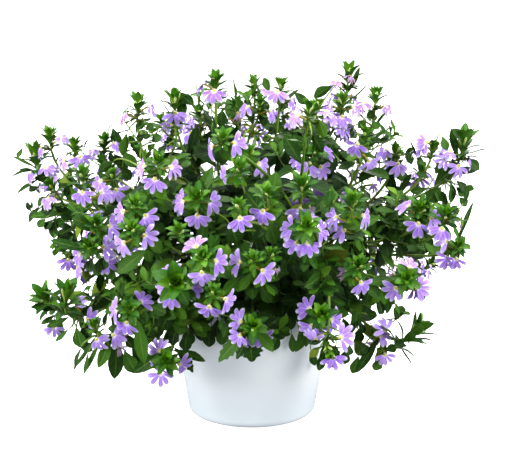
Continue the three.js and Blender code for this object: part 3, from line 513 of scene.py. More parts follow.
def place_bloom(line, head, row, number, crowd):
    """The bloom that a row asks for, nudged until it is clear, or nothing."""
    turn, drop, size = (*row, 1)[:3]
    for nudge in BLOOM_NUDGES:
        bloom = pose_bloom(line, head, turn, drop, size, nudge)
        if settle(bloom_points(bloom), number, crowd, CLEARANCE["bloom_to_pot"]):
            return bloom
    return None


def make_leaf(base, way, facing, length, width, bend, **more):
    """A leaf, its face turned as near to the facing as its way allows."""
    return {
        "base": base, "foot": base, "way": way, "normal": square_to(facing, way), "length": length,
        "width": width, "bend": bend, "teeth": 0, **more,
    }


def leaf_points(leaf):
    """Points along a leaf that runs from its base and bends back, on its midrib and near both rims."""
    side = np.cross(leaf["normal"], leaf["way"])
    along = np.repeat(0.2 + 0.16 * np.arange(6), 3)[:, None]
    across = np.tile([-0.5, 0, 0.5], 6)[:, None]
    centre = leaf["base"] + leaf["way"] * leaf["length"] * along
    centre = centre - leaf["normal"] * leaf["bend"] * leaf["length"] * along**2
    return centre + side * across * leaf["width"] * 0.8


def place_large_leaf(lines, row, crowd):
    """A large leaf runs from the stem to a tip given in the view, and is tried at a few depths."""
    number, across, up, width, teeth = (*row, 0)[:5]
    tries = []
    for line in lines:
        for distance in line.distances(4)[5:-1]:
            base = line.at(distance)[0]
            for forward in (0, 7, -7, 14, -14):
                tip = in_view(across, up, base[1] - forward)
                length = np.linalg.norm(tip - base)
                inward = 30 if np.linalg.norm(tip) < np.linalg.norm(base) else 0
                effort = abs(length - 30) + abs(forward) * 0.3 + inward
                tries.append((effort, base, tip, length, line.rounded(distance)))
    tries.sort(key=lambda item: item[0])
    for _, base, tip, length, foot in tries[:60]:
        way = unit(tip - base)
        facing = vec(0.3, -0.3, 0.9) if width < LEAF["narrow"] else vec(0, -0.8, 0.6)
        leaf = make_leaf(base, way, facing, length, width, 0.05, foot=foot, teeth=teeth)
        if length >= LEAF["longest"]:
            continue
        if settle(leaf_points(leaf), number, crowd, CLEARANCE["leaf_to_pot"]):
            return leaf
    return None


def place_spiral_leaves(line, count, number, draws, crowd):
    """Leaves up the stem in a golden spiral, smaller toward the tip, lifted to the light."""
    leaves = []
    spin = next(draws) * 360
    for index in range(count):
        distance = (0.45 + 0.45 * (index + 0.5) / count) * line.total
        base, tangent = line.at(distance)
        size = 0.9 + 0.25 * next(draws)
        for attempt in range(12):
            turn = 30 * attempt * (1 if attempt % 2 else -1)
            angle = np.radians(spin + GOLDEN_TURN * index + turn)
            arm = square_to(vec(np.cos(angle), np.sin(angle), 0.15 * np.sin(3 * angle)), tangent)
            way = unit(arm * 0.82 + tangent * 0.5 - UP * 0.12)
            facing = tangent + UP * 0.5
            leaf = make_leaf(base, way, facing, LEAF["length"] * size, LEAF["width"] * size, 0.15)
            leaf["foot"] = line.rounded(distance)
            if settle(leaf_points(leaf), number, crowd, CLEARANCE["leaf_to_pot"]):
                leaves.append(leaf)
                break
    return leaves


def plan_plant(crowd):
    """Plan of the whole plant: stems first, then crowns, blooms, large leaves and spiral leaves."""
    near = near_heads()
    last_near = max(head["stem"] for head in near)
    heads = near + far_heads(last_near + 1)
    count = max(head["stem"] for head in heads)
    stems = [
        {"number": number, "heads": [], "lines": [], "blooms": [], "leaves": []}
        for number in range(1, count + 1)
    ]
    for head in heads:
        stems[head["stem"] - 1]["heads"].append(head)
    assign_roots(stems)
    for head in heads:
        crowd.add(crown_points(head), head["stem"], 0)
    for stem in stems:
        draws = seeded_draws(1000 + stem["number"])
        stem["lines"].append(grow_main(stem, draws, crowd))
        for head in stem["heads"][1:]:
            stem["lines"].append(grow_branch(stem["lines"][0], head, stem["number"], draws, crowd))
    for stem in stems:
        for line, head in zip(stem["lines"], stem["heads"]):
            for row in head["blooms"]:
                stem["blooms"].append(place_bloom(line, head, row, stem["number"], crowd))
    for row in LARGE_LEAVES:
        stem = stems[row[0] - 1]
        stem["leaves"].append(place_large_leaf(stem["lines"], row, crowd))
    for stem in stems:
        for index, line in enumerate(stem["lines"]):
            draws = seeded_draws(2000 + 10 * stem["number"] + index)
            # One spiral leaf fewer for each two large leaves that a near stem already has.
            fewer = 0 if stem["number"] > last_near else -(-len(stem["leaves"]) // 2)
            leaves = place_spiral_leaves(line, 2 - index - fewer, stem["number"], draws, crowd)
            stem["leaves"].extend(leaves)
    for stem in stems:
        stem["blooms"] = [bloom for bloom in stem["blooms"] if bloom]
        stem["leaves"] = [leaf for leaf in stem["leaves"] if leaf]
    return stems


# How the scene fills the plant: how far apart leaves and twigs start up a stem, and from what share of
# its length; the shares of the dome that leaves, and those near a head, stay in; the gaps that they
# keep; and how often each is turned to find room.
FILL = {
    "leaf_spacing": 6, "leaf_from": 0.06, "twig_spacing": 17, "twig_from": 0.1, "within": 0.95,
    "near_head": 40, "near_head_within": 1.07, "gap": 1.4, "pot_gap": 1.5, "attempts": 6,
}
ATTEMPT_TURN = 56

# The places of a twig's leaves, in shares of its length.
TWIG_LEAVES = (0.3, 0.44, 0.56, 0.67, 0.77, 0.86, 0.93, 1, 1)

# Turns round a stem start from this direction, brought square to it.
OFF_STEM = np.array([0.31, 0.94, 0.12])

# Added leaves keep this far round blooms and tips free, to so far behind them, as seen in the view, and
# keep out of this room before the cover pot.
KEPT_FREE = {"bloom": 9, "tip": 6, "behind": 2}
POT_FRONT = {"half_width": 72, "top": 66, "front": 20}

# Single leaves on twigs of their own. Each row is seen in the same view: the leaf's foot (across, up),
# its tip from there, its width, and where its foot stands along Y, or nothing where it stands as deep
# as the nearest stem.
SET_LEAVES = [
    [24, 76, -5, -20, 9, -82], [37, 74, 2, -19, 6, -77], [44, 77, 3, -17, 6, -72],
    [55, 58, 5, -16, 6, -63], [68, 55, -4, -18, 6, -46], [-46, 85, -2, -19, 10, -71],
    [-38, 80, -3, -20, 10, -78], [-58, 81, -2, -20, 10, -60], [-32, 88, -1, -19, 10, -79],
    [-20, 91, -3, -20, 11, -84], [-9, 90, -3, -19, 11, -88], [9, 91, -2, -19, 10, -86],
    [16, 94, -3, -19, 9, -88], [27, 89, 3, -20, 10, -81], [34, 95, 3, -18, 9, -78],
    [48, 89, 4, -20, 10, -69], [57, 82, 3, -20, 9, -61], [-51, 96, -3, -20, 11, -70],
    [-15, 77, -4, -16, 9, -85], [0, 81, 2, -17, 8, -89], [22, 85, 0, -19, 8, -87],
    [-26, 80, -3, -18, 9, -85], [-64, 92, -4, -20, 11, -113], [-70, 80, -6, -18, 9, -108],
    [-60, 74, -3, -18, 9, -109], [-77, 96, -5, -20, 11, -96], [-56, 104, -1, -20, 11, -103],
    [-68, 108, -4, -20, 12, -117], [0, 104, -2, -20, 11, -86], [20, 104, 2, -20, 10, -84],
    [40, 104, 2, -18, 10, -75], [-22, 103, -2, -19, 11, -83], [-41, 102, -2, -20, 11, -77],
    [58, 100, 4, -20, 10, -60], [-20, 178, 7, -18, 13, -140], [-6, 181, 5, -19, 13, -135],
    [6, 178, 6, -18, 13, -140], [16, 179, 6, -19, 13], [-12, 166, 6, -17, 12, -138],
    [3, 164, 6, -17, 12, -136], [20, 163, 7, -17, 12], [80, 168, 5, -19, 12], [94, 170, 5, -19, 12],
    [108, 168, 4, -19, 12], [122, 166, 5, -18, 11], [136, 163, 5, -17, 11], [86, 156, 5, -17, 12],
    [101, 157, 4, -18, 12], [116, 155, 5, -17, 11], [18, 252, 6, -18, 12], [30, 250, 4, -18, 12],
    [24, 241, 6, -17, 12], [-31, 253, 6, -18, 12], [-22, 255, 5, -18, 12], [68, 231, 5, -18, 12],
    [77, 229, 6, -18, 12], [95, 75, 4, 23, 9], [100, 78, 21, -5, 10], [95, 69, 12, -17, 10],
    [100, 52, -5, -18, 8], [88, 58, -2, -15, 9], [68, 57, -5, -20, 6], [73, 59, 10, -8, 6],
    [64, 61, -9, -11, 6], [107, 93, 10, -2, 6], [117, 108, 6, -16, 6], [120, 50, -4, -13, 8],
    [125, 57, 11, 4, 7], [81, 69, 10, 5, 7], [79, 63, -4, -15, 7], [92, 63, -2, -12, 8],
    [110, 62, -9, -6, 8], [-164, 80, 3, -21, 12], [-160, 61, -9, -23, 4], [-153, 56, -6, -22, 4],
    [-120, 58, 10, -24, 11], [-113, 62, 15, -18, 13], [-183, 92, -15, -9, 5], [-170, 90, -23, -9, 5],
    [-171, 78, -14, -12, 5], [-178, 87, -2, -16, 8], [-135, 65, -6, -17, 7], [-199, 221, 12, 3, 9],
    [-182, 196, -12, -6, 10], [-195, 196, -12, -15, 6], [-182, 196, 19, -13, 12], [-182, 183, -2, -18, 9],
    [-190, 184, -8, -8, 7], [-172, 181, -13, -4, 8], [-187, 205, -11, -8, 7], [195, 241, 14, -11, 8],
    [191, 236, -13, -8, 10], [174, 214, -13, -15, 12], [182, 219, 2, -21, 12], [178, 208, -2, -20, 8],
    [161, 212, -15, -3, 6], [162, 223, -11, 3, 5], [158, 233, -7, 8, 6], [193, 256, -9, 12, 7],
    [194, 198, 5, 16, 6], [193, 188, 1, -13, 5], [187, 214, 9, -9, 8], [-136, 149, -3, -14, 9],
    [-130, 146, 4, -13, 9], [-148, 146, -4, -13, 8], [-121, 233, 10, -13, 9], [-130, 248, 4, -13, 7],
    [140, 248, 7, -13, 7], [173, 261, 6, -13, 7], [155, 120, 5, -16, 8], [86, 272, 10, -13, 8],
    [133, 164, -4, 13, 7], [129, 188, 5, 8, 7], [121, 175, -7, -11, 8], [16, 301, -5, 13, 6],
    [9, 296, 5, -13, 7], [-6, 298, 4, -13, 6], [-141, 146, -4, -17, 9], [-134, 143, 2, -18, 9],
    [-124, 145, 3, -16, 9], [-150, 139, -6, -14, 8], [175, 239, -7, -13, 7], [85, 89, 3, -14, 8],
    [72, 56, 5, -16, 6], [-98, 272, -7, -4, 6], [-97, 267, 7, 4, 6], [-93, 263, -5, -5, 7],
    [-92, 256, 9, 5, 7], [-88, 254, -7, -6, 7], [-83, 265, 9, 4, 8], [-81, 258, 8, -4, 9],
    [-78, 252, -7, -7, 8], [-98, 261, -7, -3, 6], [96, 268, 7, 6, 7], [101, 266, 8, -5, 7],
    [92, 266, -5, -7, 7], [104, 277, 6, 6, 6], [109, 274, 7, -6, 7], [97, 261, 7, -7, 8],
    [9, 256, 8, 5, 7], [16, 254, -7, -5, 7], [14, 263, 7, 4, 6], [-203, 190, -4, 9, 6],
    [-202, 191, -1, 9, 5], [-196, 214, -9, -4, 7], [-183, 183, -9, -9, 7], [139, 240, -20, -21, 10],
    [127, 227, 17, -5, 8], [187, 220, 10, -11, 7], [194, 214, 10, -2, 5], [190, 204, 8, -8, 8],
    [184, 197, 7, -9, 8], [-148, 143, 7, -14, 9], [-137, 143, 3, -16, 10], [-128, 139, -2, -15, 10],
    [0, 188, 7, -13, 11, -140], [9, 181, -7, -14, 11, -138], [105, 138, 10, -11, 8],
    [115, 139, 10, -11, 8], [111, 116, -2, -16, 8], [99, 79, 3, -15, 8], [-209, 250, -6, -9, 6],
    [166, 211, 13, -10, 8], [-119, 74, 9, -15, 8], [-163, 67, 13, -11, 8],
]
LONGEST_TWIG = 85

# How much broader a set leaf is than its row says, how far it stands before the nearest stem, and how
# far its tip stands before its foot.
SET_LEAF = {"broader": 1.2, "before_stem": 4, "tip_before": 3}

# More blooms, seen in the same view: the throat (across, up), the way that the fan points (degrees from
# the right), its size, and how far its face leans up (radians).
SET_BLOOMS = [
    [-146, 190, -70, 1, 0.7], [-86, 35, -95, 1, 0.2], [83, 70, 10, 1.05, 0.1], [42, 203, -92, 1.1, 0.3],
    [61, 204, 88, 0.8, 0.6], [-136, 143, -35, 1.05, 0.1], [-152, 85, 25, 0.9, 0.5],
    [-11, 72, -128, 0.85, 0.4], [-185, 80, -90, 0.85, 0.4], [-170, 145, -95, 1, 0.3],
    [-157, 150, -155, 0.9, 0.4], [-147, 139, 175, 0.8, 0.8], [-8, 147, 135, 0.9, 0.3],
    [76, 51, -72, 0.95, 0.2], [85, 173, 178, 1, 0.4], [92, 204, 175, 0.9, 0.8],
    [189, 146, -100, 0.85, 0.2], [154, 118, 0, 1, 0.2], [177, 239, -165, 0.9, 0.7],
    [159, 255, 190, 0.8, 0.3], [165, 184, -20, 0.8, 0.5], [125, 53, -80, 0.8, 0.5],
    [120, 71, -10, 0.8, 0.6], [-126, 61, -55, 0.72, 0.5],
]

# Heads that stand farther back than this have more blooms, at these turns from the first.
BLOOMS_BEHIND = 30
BEHIND_TURNS = (0, 115, 230)

# Rounds that look for see-through gaps: how far the plant is turned (degrees), how wide a cell is, and
# the share of the dome's outline that is looked at.
GAP_ROUNDS = [
    (0, 4, 0.86), (90, 4, 0.86), (180, 4, 0.86), (270, 4, 0.86),
    (0, 2.5, 0.76), (90, 2.5, 0.7), (180, 2.5, 0.7), (270, 2.5, 0.7),
]

# The part of the view that those rounds cover, and the room round the pots that they leave open.
GAP_VIEW = {"left": -240, "width": 480, "height": 360, "lowest": 36}
OPEN_BELOW = {"half_width": 86, "top": 108}

# A leaf that closes a gap: its half length, its lean from straight down (radians), its width, how far it
# stands behind the nearest stem and its tip before its foot, and the room that it stays in.
GAP_LEAF = {
    "reach": (8, 11), "lean": 1.1, "width": (8, 11), "behind_stem": 3, "tip_before": 4, "pot_gap": 2,
    "within_square": 0.92,
}


def reach_squares(points):
    """The squares of how far out points lie in the dome, where its surface is 1."""
    return np.sum(((points - DOME["middle"] * UP) / DOME["half"]) ** 2, 1)


class Sight:
    """What shows in the photograph's view, so that added leaves grow behind it or beside it."""

    def __init__(self, stems):
        centres = []
        radii = []
        for stem in stems:
            for bloom in stem["blooms"]:
                centres.append(bloom["throat"] + bloom["middle"] * bloom["radius"] * 0.45)
                radii.append(KEPT_FREE["bloom"] * bloom["size"])
            for head in stem["heads"]:
                centres.append(head["neck"] + head["axis"] * head["tip"] * 0.5)
                radii.append(KEPT_FREE["tip"])
        self.depths = np.array(centres)[:, 1]
        self.places = self.project(np.array(centres))
        self.radii = np.array(radii)

    @staticmethod
    def project(points):
        """Each point carried along its sight line to the upright plane through the pot's axis."""
        sight = points - EYE
        return (EYE + sight * (-EYE[1] / sight[:, 1:2]))[:, [0, 2]]

    def is_free(self, points):
        """True where points neither stand before a bloom or a tip, nor hang over the front of the pot."""
        seen = self.project(points)
        apart = np.linalg.norm(seen[:, None] - self.places, axis=-1)
        before = points[:, 1][:, None] < self.depths + KEPT_FREE["behind"]
        if ((apart < self.radii) & before).any():
            return False
        over_pot = (np.abs(seen[:, 0]) < POT_FRONT["half_width"]) & (seen[:, 1] < POT_FRONT["top"])
        return not (over_pot & (points[:, 1] < POT_FRONT["front"])).any()


def fits_in(points, number, crowd, sight, within):
    """True where an added leaf stays in the dome, off the pots and clear of what is placed."""
    if (reach_squares(points) > within**2).any() or in_pot(points, FILL["pot_gap"]):
        return False
    return crowd.is_clear(points, number, FILL["gap"]) and sight.is_free(points)


def round_about(tangent, degrees):
    """The direction square to a stem, so far round it."""
    across = square_to(OFF_STEM, tangent)
    angle = np.radians(degrees)
    return across * np.cos(angle) + np.cross(tangent, across) * np.sin(angle)


def try_leaf(foot, tangent, spin, length, stem, crowd, sight, within=FILL["within"]):
    """A leaf from a place on a stem, turned round it by steps until it fits in, or nothing.

    It droops more the lower it stands, and short leaves are slimmer.
    """
    rng = stem["rng"]
    droop = 0.1 + 0.5 * np.clip((150 - foot[2]) / 60, 0, 1)
    for attempt in range(FILL["attempts"]):
        arm = round_about(tangent, spin + ATTEMPT_TURN * attempt)
        way = unit(arm * 0.8 + tangent * rng.uniform(0.25, 0.75) - UP * droop)
        slim = np.clip(0.3 + 0.011 * (length - 8), 0.3, 0.44)
        width = length * (slim + rng.uniform(0, 0.1))
        facing = tangent + UP * 0.6 - vec(0, 0.25, 0)
        leaf = make_leaf(foot, way, facing, length, width, rng.uniform(0.05, 0.22))
        points = leaf_points(leaf)
        if fits_in(points, stem["number"], crowd, sight, within):
            crowd.add(points, stem["number"], FILL["gap"])
            stem["leaves"].append(leaf)
            return leaf
    return None


def grow_twig(stem, twig, crowd, sight):
    """Leaves along a side twig, closer and smaller toward its end; it stays if three or more fit in."""
    spin = stem["rng"].uniform(0, 360)
    kept = []
    for part in TWIG_LEAVES:
        spin += GOLDEN_TURN
        foot, way = twig.rounded(part * twig.total), twig.at(part * twig.total)[1]
        length = (27 - 14 * part) * stem["rng"].uniform(0.8, 1.2)
        leaf = try_leaf(foot, way, spin, length, stem, crowd, sight)
        if leaf:
            leaf["age"] = 0.9 - 0.6 * part
            kept.append(part)
    if len(kept) > 2:
        stem["twigs"].append((twig, kept[-1]))
    elif kept:
        del stem["leaves"][-len(kept):]


def fill_line(stem, line, crowd, sight):
    """Leaves up a stem and twigs that reach outward from it.

    A leaf is 9 mm long and 0.26 of its distance from the head, at most 29 mm, times 0.8 to 1.2.
    """
    rng = stem["rng"]
    spin = rng.uniform(0, 360)
    for distance in np.arange(line.total - 2, FILL["leaf_from"] * line.total, -FILL["leaf_spacing"]):
        spin += GOLDEN_TURN
        to_head = line.total - distance
        length = min(9 + 0.26 * to_head, 29) * rng.uniform(0.8, 1.2)
        within = FILL["near_head_within"] if to_head < FILL["near_head"] else FILL["within"]
        foot, tangent = line.rounded(distance), line.at(distance)[1]
        leaf = try_leaf(foot, tangent, spin, length, stem, crowd, sight, within)
        if leaf:
            leaf["age"] = min(0.12 + to_head / 90, 1)
    for distance in np.arange(FILL["twig_from"] * line.total, line.total - 18, FILL["twig_spacing"]):
        spin += GOLDEN_TURN
        foot, tangent = line.rounded(distance), line.at(distance)[1]
        arm = round_about(tangent, spin)
        outward = unit(foot - vec(0, 0, 90))
        reach = rng.uniform(22, 42)
        middle = foot + unit(arm + tangent * 0.5) * reach * 0.5
        end = middle + unit(arm * 0.5 + outward * 0.7 + UP * 0.35) * reach * 0.5
        twig = CentreLine((foot, (foot + 2 * middle) / 3, (end + 2 * middle) / 3, end), 3)
        grow_twig(stem, twig, crowd, sight)


class Supports:
    """Places along the stems, from which twigs of their own carry single leaves and blooms."""

    def __init__(self, stems):
        self.feet = [
            (stem, line, distance)
            for stem in stems for line in stem["lines"] for distance in line.distances(5)[6:-1]
        ]
        self.places = np.array([line.at(distance)[0] for _, line, distance in self.feet])

    def depth_at(self, across, up, turn=0):
        """How deep the stem stands that is nearest to a place in the view, turned round the plant."""
        turned = turn_round(self.places, turn)
        seen = Sight.project(turned)
        return turned[np.argmin(np.hypot(seen[:, 0] - across, seen[:, 1] - up)), 1]

    def twig_to(self, end, way):
        """The stem nearest behind an end that points that way, and a twig that arches over to it."""
        away = np.linalg.norm(self.places - end + way * 12, axis=1)
        stem, line, distance = self.feet[np.argmin(away)]
        if away.min() > LONGEST_TWIG:
            return None, None
        foot = line.rounded(distance)
        over = (foot + end) / 2 + vec(0, -4, min(9, 0.2 * away.min()))
        before = end - way * min(8, 0.4 * away.min())
        return stem, CentreLine((foot, over, before, end), 3)

    def hang_leaf(self, base, tip, width, facing, crowd, age=0.7):
        """A leaf from base to tip on a twig of its own, or nothing where no stem is near enough."""
        way = unit(tip - base)
        stem, twig = self.twig_to(base, way)
        if stem is None:
            return None
        leaf = make_leaf(base, way, facing, np.linalg.norm(tip - base), width, 0.12, age=age)
        crowd.add(leaf_points(leaf), stem["number"], FILL["gap"])
        stem["leaves"].append(leaf)
        stem["twigs"].append((twig, 1))
        return leaf


def turn_round(points, degrees):
    """Points turned round the plant's upright axis."""
    angle = np.radians(degrees)
    x, y = points[..., 0], points[..., 1]
    turned = [x * np.cos(angle) - y * np.sin(angle), x * np.sin(angle) + y * np.cos(angle)]
    return np.stack([*turned, points[..., 2]], -1)


def add_set_pieces(supports, crowd):
    """The single leaves and the blooms that the tables give, each on a twig of its own."""
    for across, up, right, rise, width, *depth in SET_LEAVES:
        y = depth[0] if depth else supports.depth_at(across, up) - SET_LEAF["before_stem"]
        facing = vec(across / 250, -1, 0.4)
        base = in_view(across, up, y)
        tip = in_view(across + right, up + rise, y - SET_LEAF["tip_before"])
        supports.hang_leaf(base, tip, width * SET_LEAF["broader"], facing, crowd)
    for across, up, degrees, size, lean in SET_BLOOMS:
        throat = in_view(across, up, supports.depth_at(across, up) - 8)
        angle = np.radians(degrees)
        middle = unit(vec(np.cos(angle), -0.15, np.sin(angle)))
        face = unit(EYE - throat) * np.cos(lean) + UP * np.sin(lean)
        way = unit(middle * 0.7 + face * 0.6)
        foot = throat - way * BLOOM["tube"] * (0.4 + 0.6 * size)
        stem, twig = supports.twig_to(foot, way)
        if stem is None:
            continue
        normal = square_to(face, middle)
        bloom = make_bloom(foot, foot, square_to(UP, way), way, throat, middle, normal, size)
        crowd.add(bloom_points(bloom), stem["number"], FILL["gap"])
        stem["blooms"].append(bloom)
        stem["twigs"].append((twig, 1))


def add_blooms_behind(stems, crowd):
    """More blooms round the stems just below the heads of the sides and the back."""
    for stem in stems:
        for line, head in zip(stem["lines"], stem["heads"]):
            if head["neck"][1] < BLOOMS_BEHIND:
                continue
            first = stem["rng"].uniform(-180, 180)
            for turn in BEHIND_TURNS:
                row = (first + turn, stem["rng"].uniform(4, 20), stem["rng"].uniform(0.72, 1.05))
                bloom = place_bloom(line, head, row, stem["number"], crowd)
                if bloom:
                    stem["blooms"].append(bloom)


def all_over(leaf):
    """Points close together over a leaf's blade, which is sin(pi * s) wide along its length."""
    s = np.repeat(np.linspace(0.06, 0.96, 10), 5)[:, None]
    across = np.tile(np.linspace(-0.9, 0.9, 5), 10)[:, None] * leaf["width"] / 2 * np.sin(np.pi * s)
    side = np.cross(leaf["normal"], leaf["way"])
    return leaf["base"] + leaf["way"] * leaf["length"] * s + side * across


def close_gaps(stems, supports, crowd, turn, cell, within):
    """Leaves where the foliage could be seen through, as looked at from one side.

    All that grows is marked on a grid of cells; a leaf hangs at each two by two cells that nothing
    covers, inside the dome and its outline, just behind the nearest stem.
    """
    rng = np.random.default_rng(int(70 + turn + 10 * cell))
    shape = (int(GAP_VIEW["width"] / cell), int(GAP_VIEW["height"] / cell))
    low = np.array([GAP_VIEW["left"], 0])
    covered = np.zeros(shape, bool)

    def mark(points):
        """Marks the cells that points fall in."""
        cells = ((Sight.project(turn_round(points, turn)) - low) / cell).astype(int)
        inside = ((cells >= 0) & (cells < shape)).all(1)
        covered[tuple(cells[inside].T)] = True

    for stem in stems:
        for leaf in stem["leaves"]:
            mark(all_over(leaf))
        for bloom in stem["blooms"]:
            mark(bloom_points(bloom))
        for head in stem["heads"]:
            mark(crown_points(head))
        for line in stem["lines"]:
            mark(line.curve(np.linspace(0, 1, 60)))
    half = np.abs(turn_round(DOME["half"] * vec(1, 1, 0), turn)).max(), DOME["half"][2]
    for row in range(shape[1] - 2, int(GAP_VIEW["lowest"] / cell), -1):
        for column in range(1, shape[0] - 1):
            if covered[column:column + 2, row:row + 2].any():
                continue
            across, up = low + (np.array([column, row]) + 1) * cell
            outside = np.hypot(across / half[0], (up - DOME["middle"]) / half[1]) > within
            if outside or (abs(across) < OPEN_BELOW["half_width"] and up < OPEN_BELOW["top"]):
                continue
            depth = supports.depth_at(across, up, turn) + GAP_LEAF["behind_stem"]
            lean = rng.uniform(-GAP_LEAF["lean"], GAP_LEAF["lean"])
            reach = rng.uniform(*GAP_LEAF["reach"])
            right = reach * np.sin(lean)
            down = reach * np.cos(lean)
            base = turn_round(in_view(across - right, up + down, depth), -turn)
            tip = turn_round(in_view(across + right, up - down, depth - GAP_LEAF["tip_before"]), -turn)
            ends = np.array([base, tip])
            if (reach_squares(ends) > GAP_LEAF["within_square"]).any() or in_pot(ends, GAP_LEAF["pot_gap"]):
                continue
            facing = turn_round(vec(rng.uniform(-0.5, 0.5), -1, 0.5), -turn)
            width = rng.uniform(*GAP_LEAF["width"])
            leaf = supports.hang_leaf(base, tip, width, facing, crowd, rng.uniform(0.5, 0.9))
            if leaf:
                mark(all_over(leaf))


def fill_with_leaves(stems, crowd):
    """More leaves up every stem, and side twigs with leaves of their own, as a bushy plant has."""
    for stem in stems:
        stem["rng"] = np.random.default_rng(3000 + stem["number"])
        stem["twigs"] = []
    supports = Supports(stems)
    add_set_pieces(supports, crowd)
    add_blooms_behind(stems, crowd)
    sight = Sight(stems)
    for stem in stems:
        for line in stem["lines"]:
            fill_line(stem, line, crowd, sight)
    for turn, cell, within in GAP_ROUNDS:
        close_gaps(stems, supports, crowd, turn, cell, within)


def tube_faces(stations, loop):
    """Faces of a closed tube: a fan from its first pole, a wall of quads, and a fan to its last pole.

    Corner j of ring k is vertex 1 + k * loop + j; each ring runs counter-clockwise seen from the end.
    """
    corner = np.arange(loop)
    following = (corner + 1) % loop
    last = 1 + stations * loop
    end_ring = last - loop
    zero = np.zeros(loop, int)
    fans = np.concatenate([
        np.stack([zero, 1 + following, 1 + corner], 1),
        np.stack([zero + last, end_ring + corner, end_ring + following], 1),
    ])
    low = 1 + np.arange(stations - 1)[:, None] * loop
    wall = np.stack([low + corner, low + following, low + loop + following, low + loop + corner], -1)
    return fans, wall.reshape(-1, 4)


class Growth:
    """Surfaces of one piece, gathered as whole arrays and made one mesh at the end."""

    def __init__(self):
        self.count = 0
        self.points = []
        self.blades = []
        self.ages = []
        self.rims = []
        self.triangles = []
        self.quads = []
        self.paints = {3: [], 4: []}

    def add(self, rings, start, end, paint, across, tone=0.5, age=0.5, rims=()):
        """Closed tubes: rings as (tubes, stations, loop, 3), with a pole before and after them.

        Each point keeps its place across and along the blade and its blade's tone.
        """
        tubes, stations, loop, _ = rings.shape
        each = stations * loop + 2
        flat = rings.reshape(tubes, -1, 3)
        self.points.append(np.concatenate([start[:, None], flat, end[:, None]], 1).reshape(-1, 3))
        blade = np.zeros((tubes, each, 3))
        blade[:, 1:-1, 0] = np.tile(across, stations)
        blade[:, 1:-1, 1] = np.repeat(np.linspace(0, 1, stations + 2)[1:-1], loop)
        blade[:, -1, 1] = 1
        blade[:, :, 2] = np.broadcast_to(tone, tubes)[:, None]
        self.blades.append(blade.reshape(-1, 3))
        self.ages.append(np.repeat(np.broadcast_to(age, tubes), each))
        rim = np.zeros(each, bool)
        if rims:
            rim[[0, -1]] = True
            rim[1:-1] = np.tile(np.isin(np.arange(loop), rims), stations)
        self.rims.append(np.tile(rim, tubes))
        offsets = (self.count + np.arange(tubes) * each)[:, None, None]
        for faces, kept in zip(tube_faces(stations, loop), (self.triangles, self.quads)):
            kept.append((faces + offsets).reshape(-1, faces.shape[1]))
            self.paints[faces.shape[1]].append(np.full(tubes * len(faces), paint))
        self.count += tubes * each

    def make(self, name, materials):
        """One mesh object of all that was added, with smooth faces that break at the blades' rims."""
        mesh = bpy.data.meshes.new(name)
        triangles = np.concatenate(self.triangles)
        quads = np.concatenate(self.quads)
        points = np.concatenate(self.points) * MM
        mesh.from_pydata(points.tolist(), [], triangles.tolist() + quads.tolist())
        paints = np.concatenate(self.paints[3] + self.paints[4]).astype(np.int32)
        mesh.polygons.foreach_set("material_index", paints)
        mesh.polygons.foreach_set("use_smooth", np.ones(len(paints), bool))
        blade = mesh.attributes.new("blade", "FLOAT_VECTOR", "POINT")
        blade.data.foreach_set("vector", np.concatenate(self.blades).ravel())
        age = mesh.attributes.new("age", "FLOAT", "POINT")
        age.data.foreach_set("value", np.concatenate(self.ages))
        ends = np.empty(len(mesh.edges) * 2, np.int32)
        mesh.edges.foreach_get("vertices", ends)
        sharp = np.concatenate(self.rims)[ends.reshape(-1, 2)].all(1)
        mesh.attributes.new("sharp_edge", "BOOLEAN", "EDGE").data.foreach_set("value", sharp)
        for material in materials:
            mesh.materials.append(material)
        mesh.update()
        piece = bpy.data.objects.new(name, mesh)
        bpy.context.scene.collection.objects.link(piece)
        return piece


# A blade's section: from one rim over the upper face to the other rim, and back below.
BLADE_ACROSS = np.array([1, 0.5, 0, -0.5, -1, -0.5, 0, 0.5])
BLADE_FACE = np.array([0, 0.8, 1, 0.8, 0, -0.8, -1, -0.8])
BLADE_RIMS = (0, 4)

# The first spoke of stems and twigs, brought square to them, their radii from root to end, how much a
# stem swells at its nodes, and how far it runs while that wave turns by one radian.
STEM_ACROSS = np.array([[0.31, 0.95, 0.1]])
STEM_RADII = {"main": (1.8, 1.1), "side": (1.25, 1.1), "twig": (0.85, 0.5)}
NODE_SWELLING = 0.07
NODE_SPACING = 2.6

# A leaf's blade: its stalk's half width, its thickness, how much its midrib sways and its face tilts, its
# least and greatest fold, the height and the rate of its rim's waves, and its age where none is given.
LEAF_FORM = {
    "stalk": 0.25, "thickness": 0.28, "sway": 0.025, "tilt": 0.12, "fold": (0.08, 0.3), "wave": (0.5, 9),
    "age": 0.62, "age_varies": 0.08,
}

# Leaves shorter than this are made with fewer stations.
SMALL_LEAF = 17

# A longer and more open tip than this is a rosette, and a longer one than BUDDY_TIP has a third bud.
ROSETTE = {"tip": 15, "opening": 0.9}
BUDDY_TIP = 13.5

# Blooms smaller than this share of the usual size are withered.
WITHERED = 0.75


def sweep_blades(centre, side, normal, half_width, fold, thickness, ruffle=0.0):
    """Rings of blades: midrib + side * across * half width + normal * lift.

    The lift is fold * |across|^1.5 * half width, plus half the thickness above or below, plus the
    ruffle of the rim times |across|.
    """
    wide = np.abs(BLADE_ACROSS)
    half_width = half_width[..., None]
    lift = fold * wide**1.5 * half_width + thickness * BLADE_FACE + np.asarray(ruffle)[..., None] * wide
    across = side[..., None, :] * (BLADE_ACROSS * half_width)[..., None]
    return centre[..., None, :] + across + normal[..., None, :] * lift[..., None]


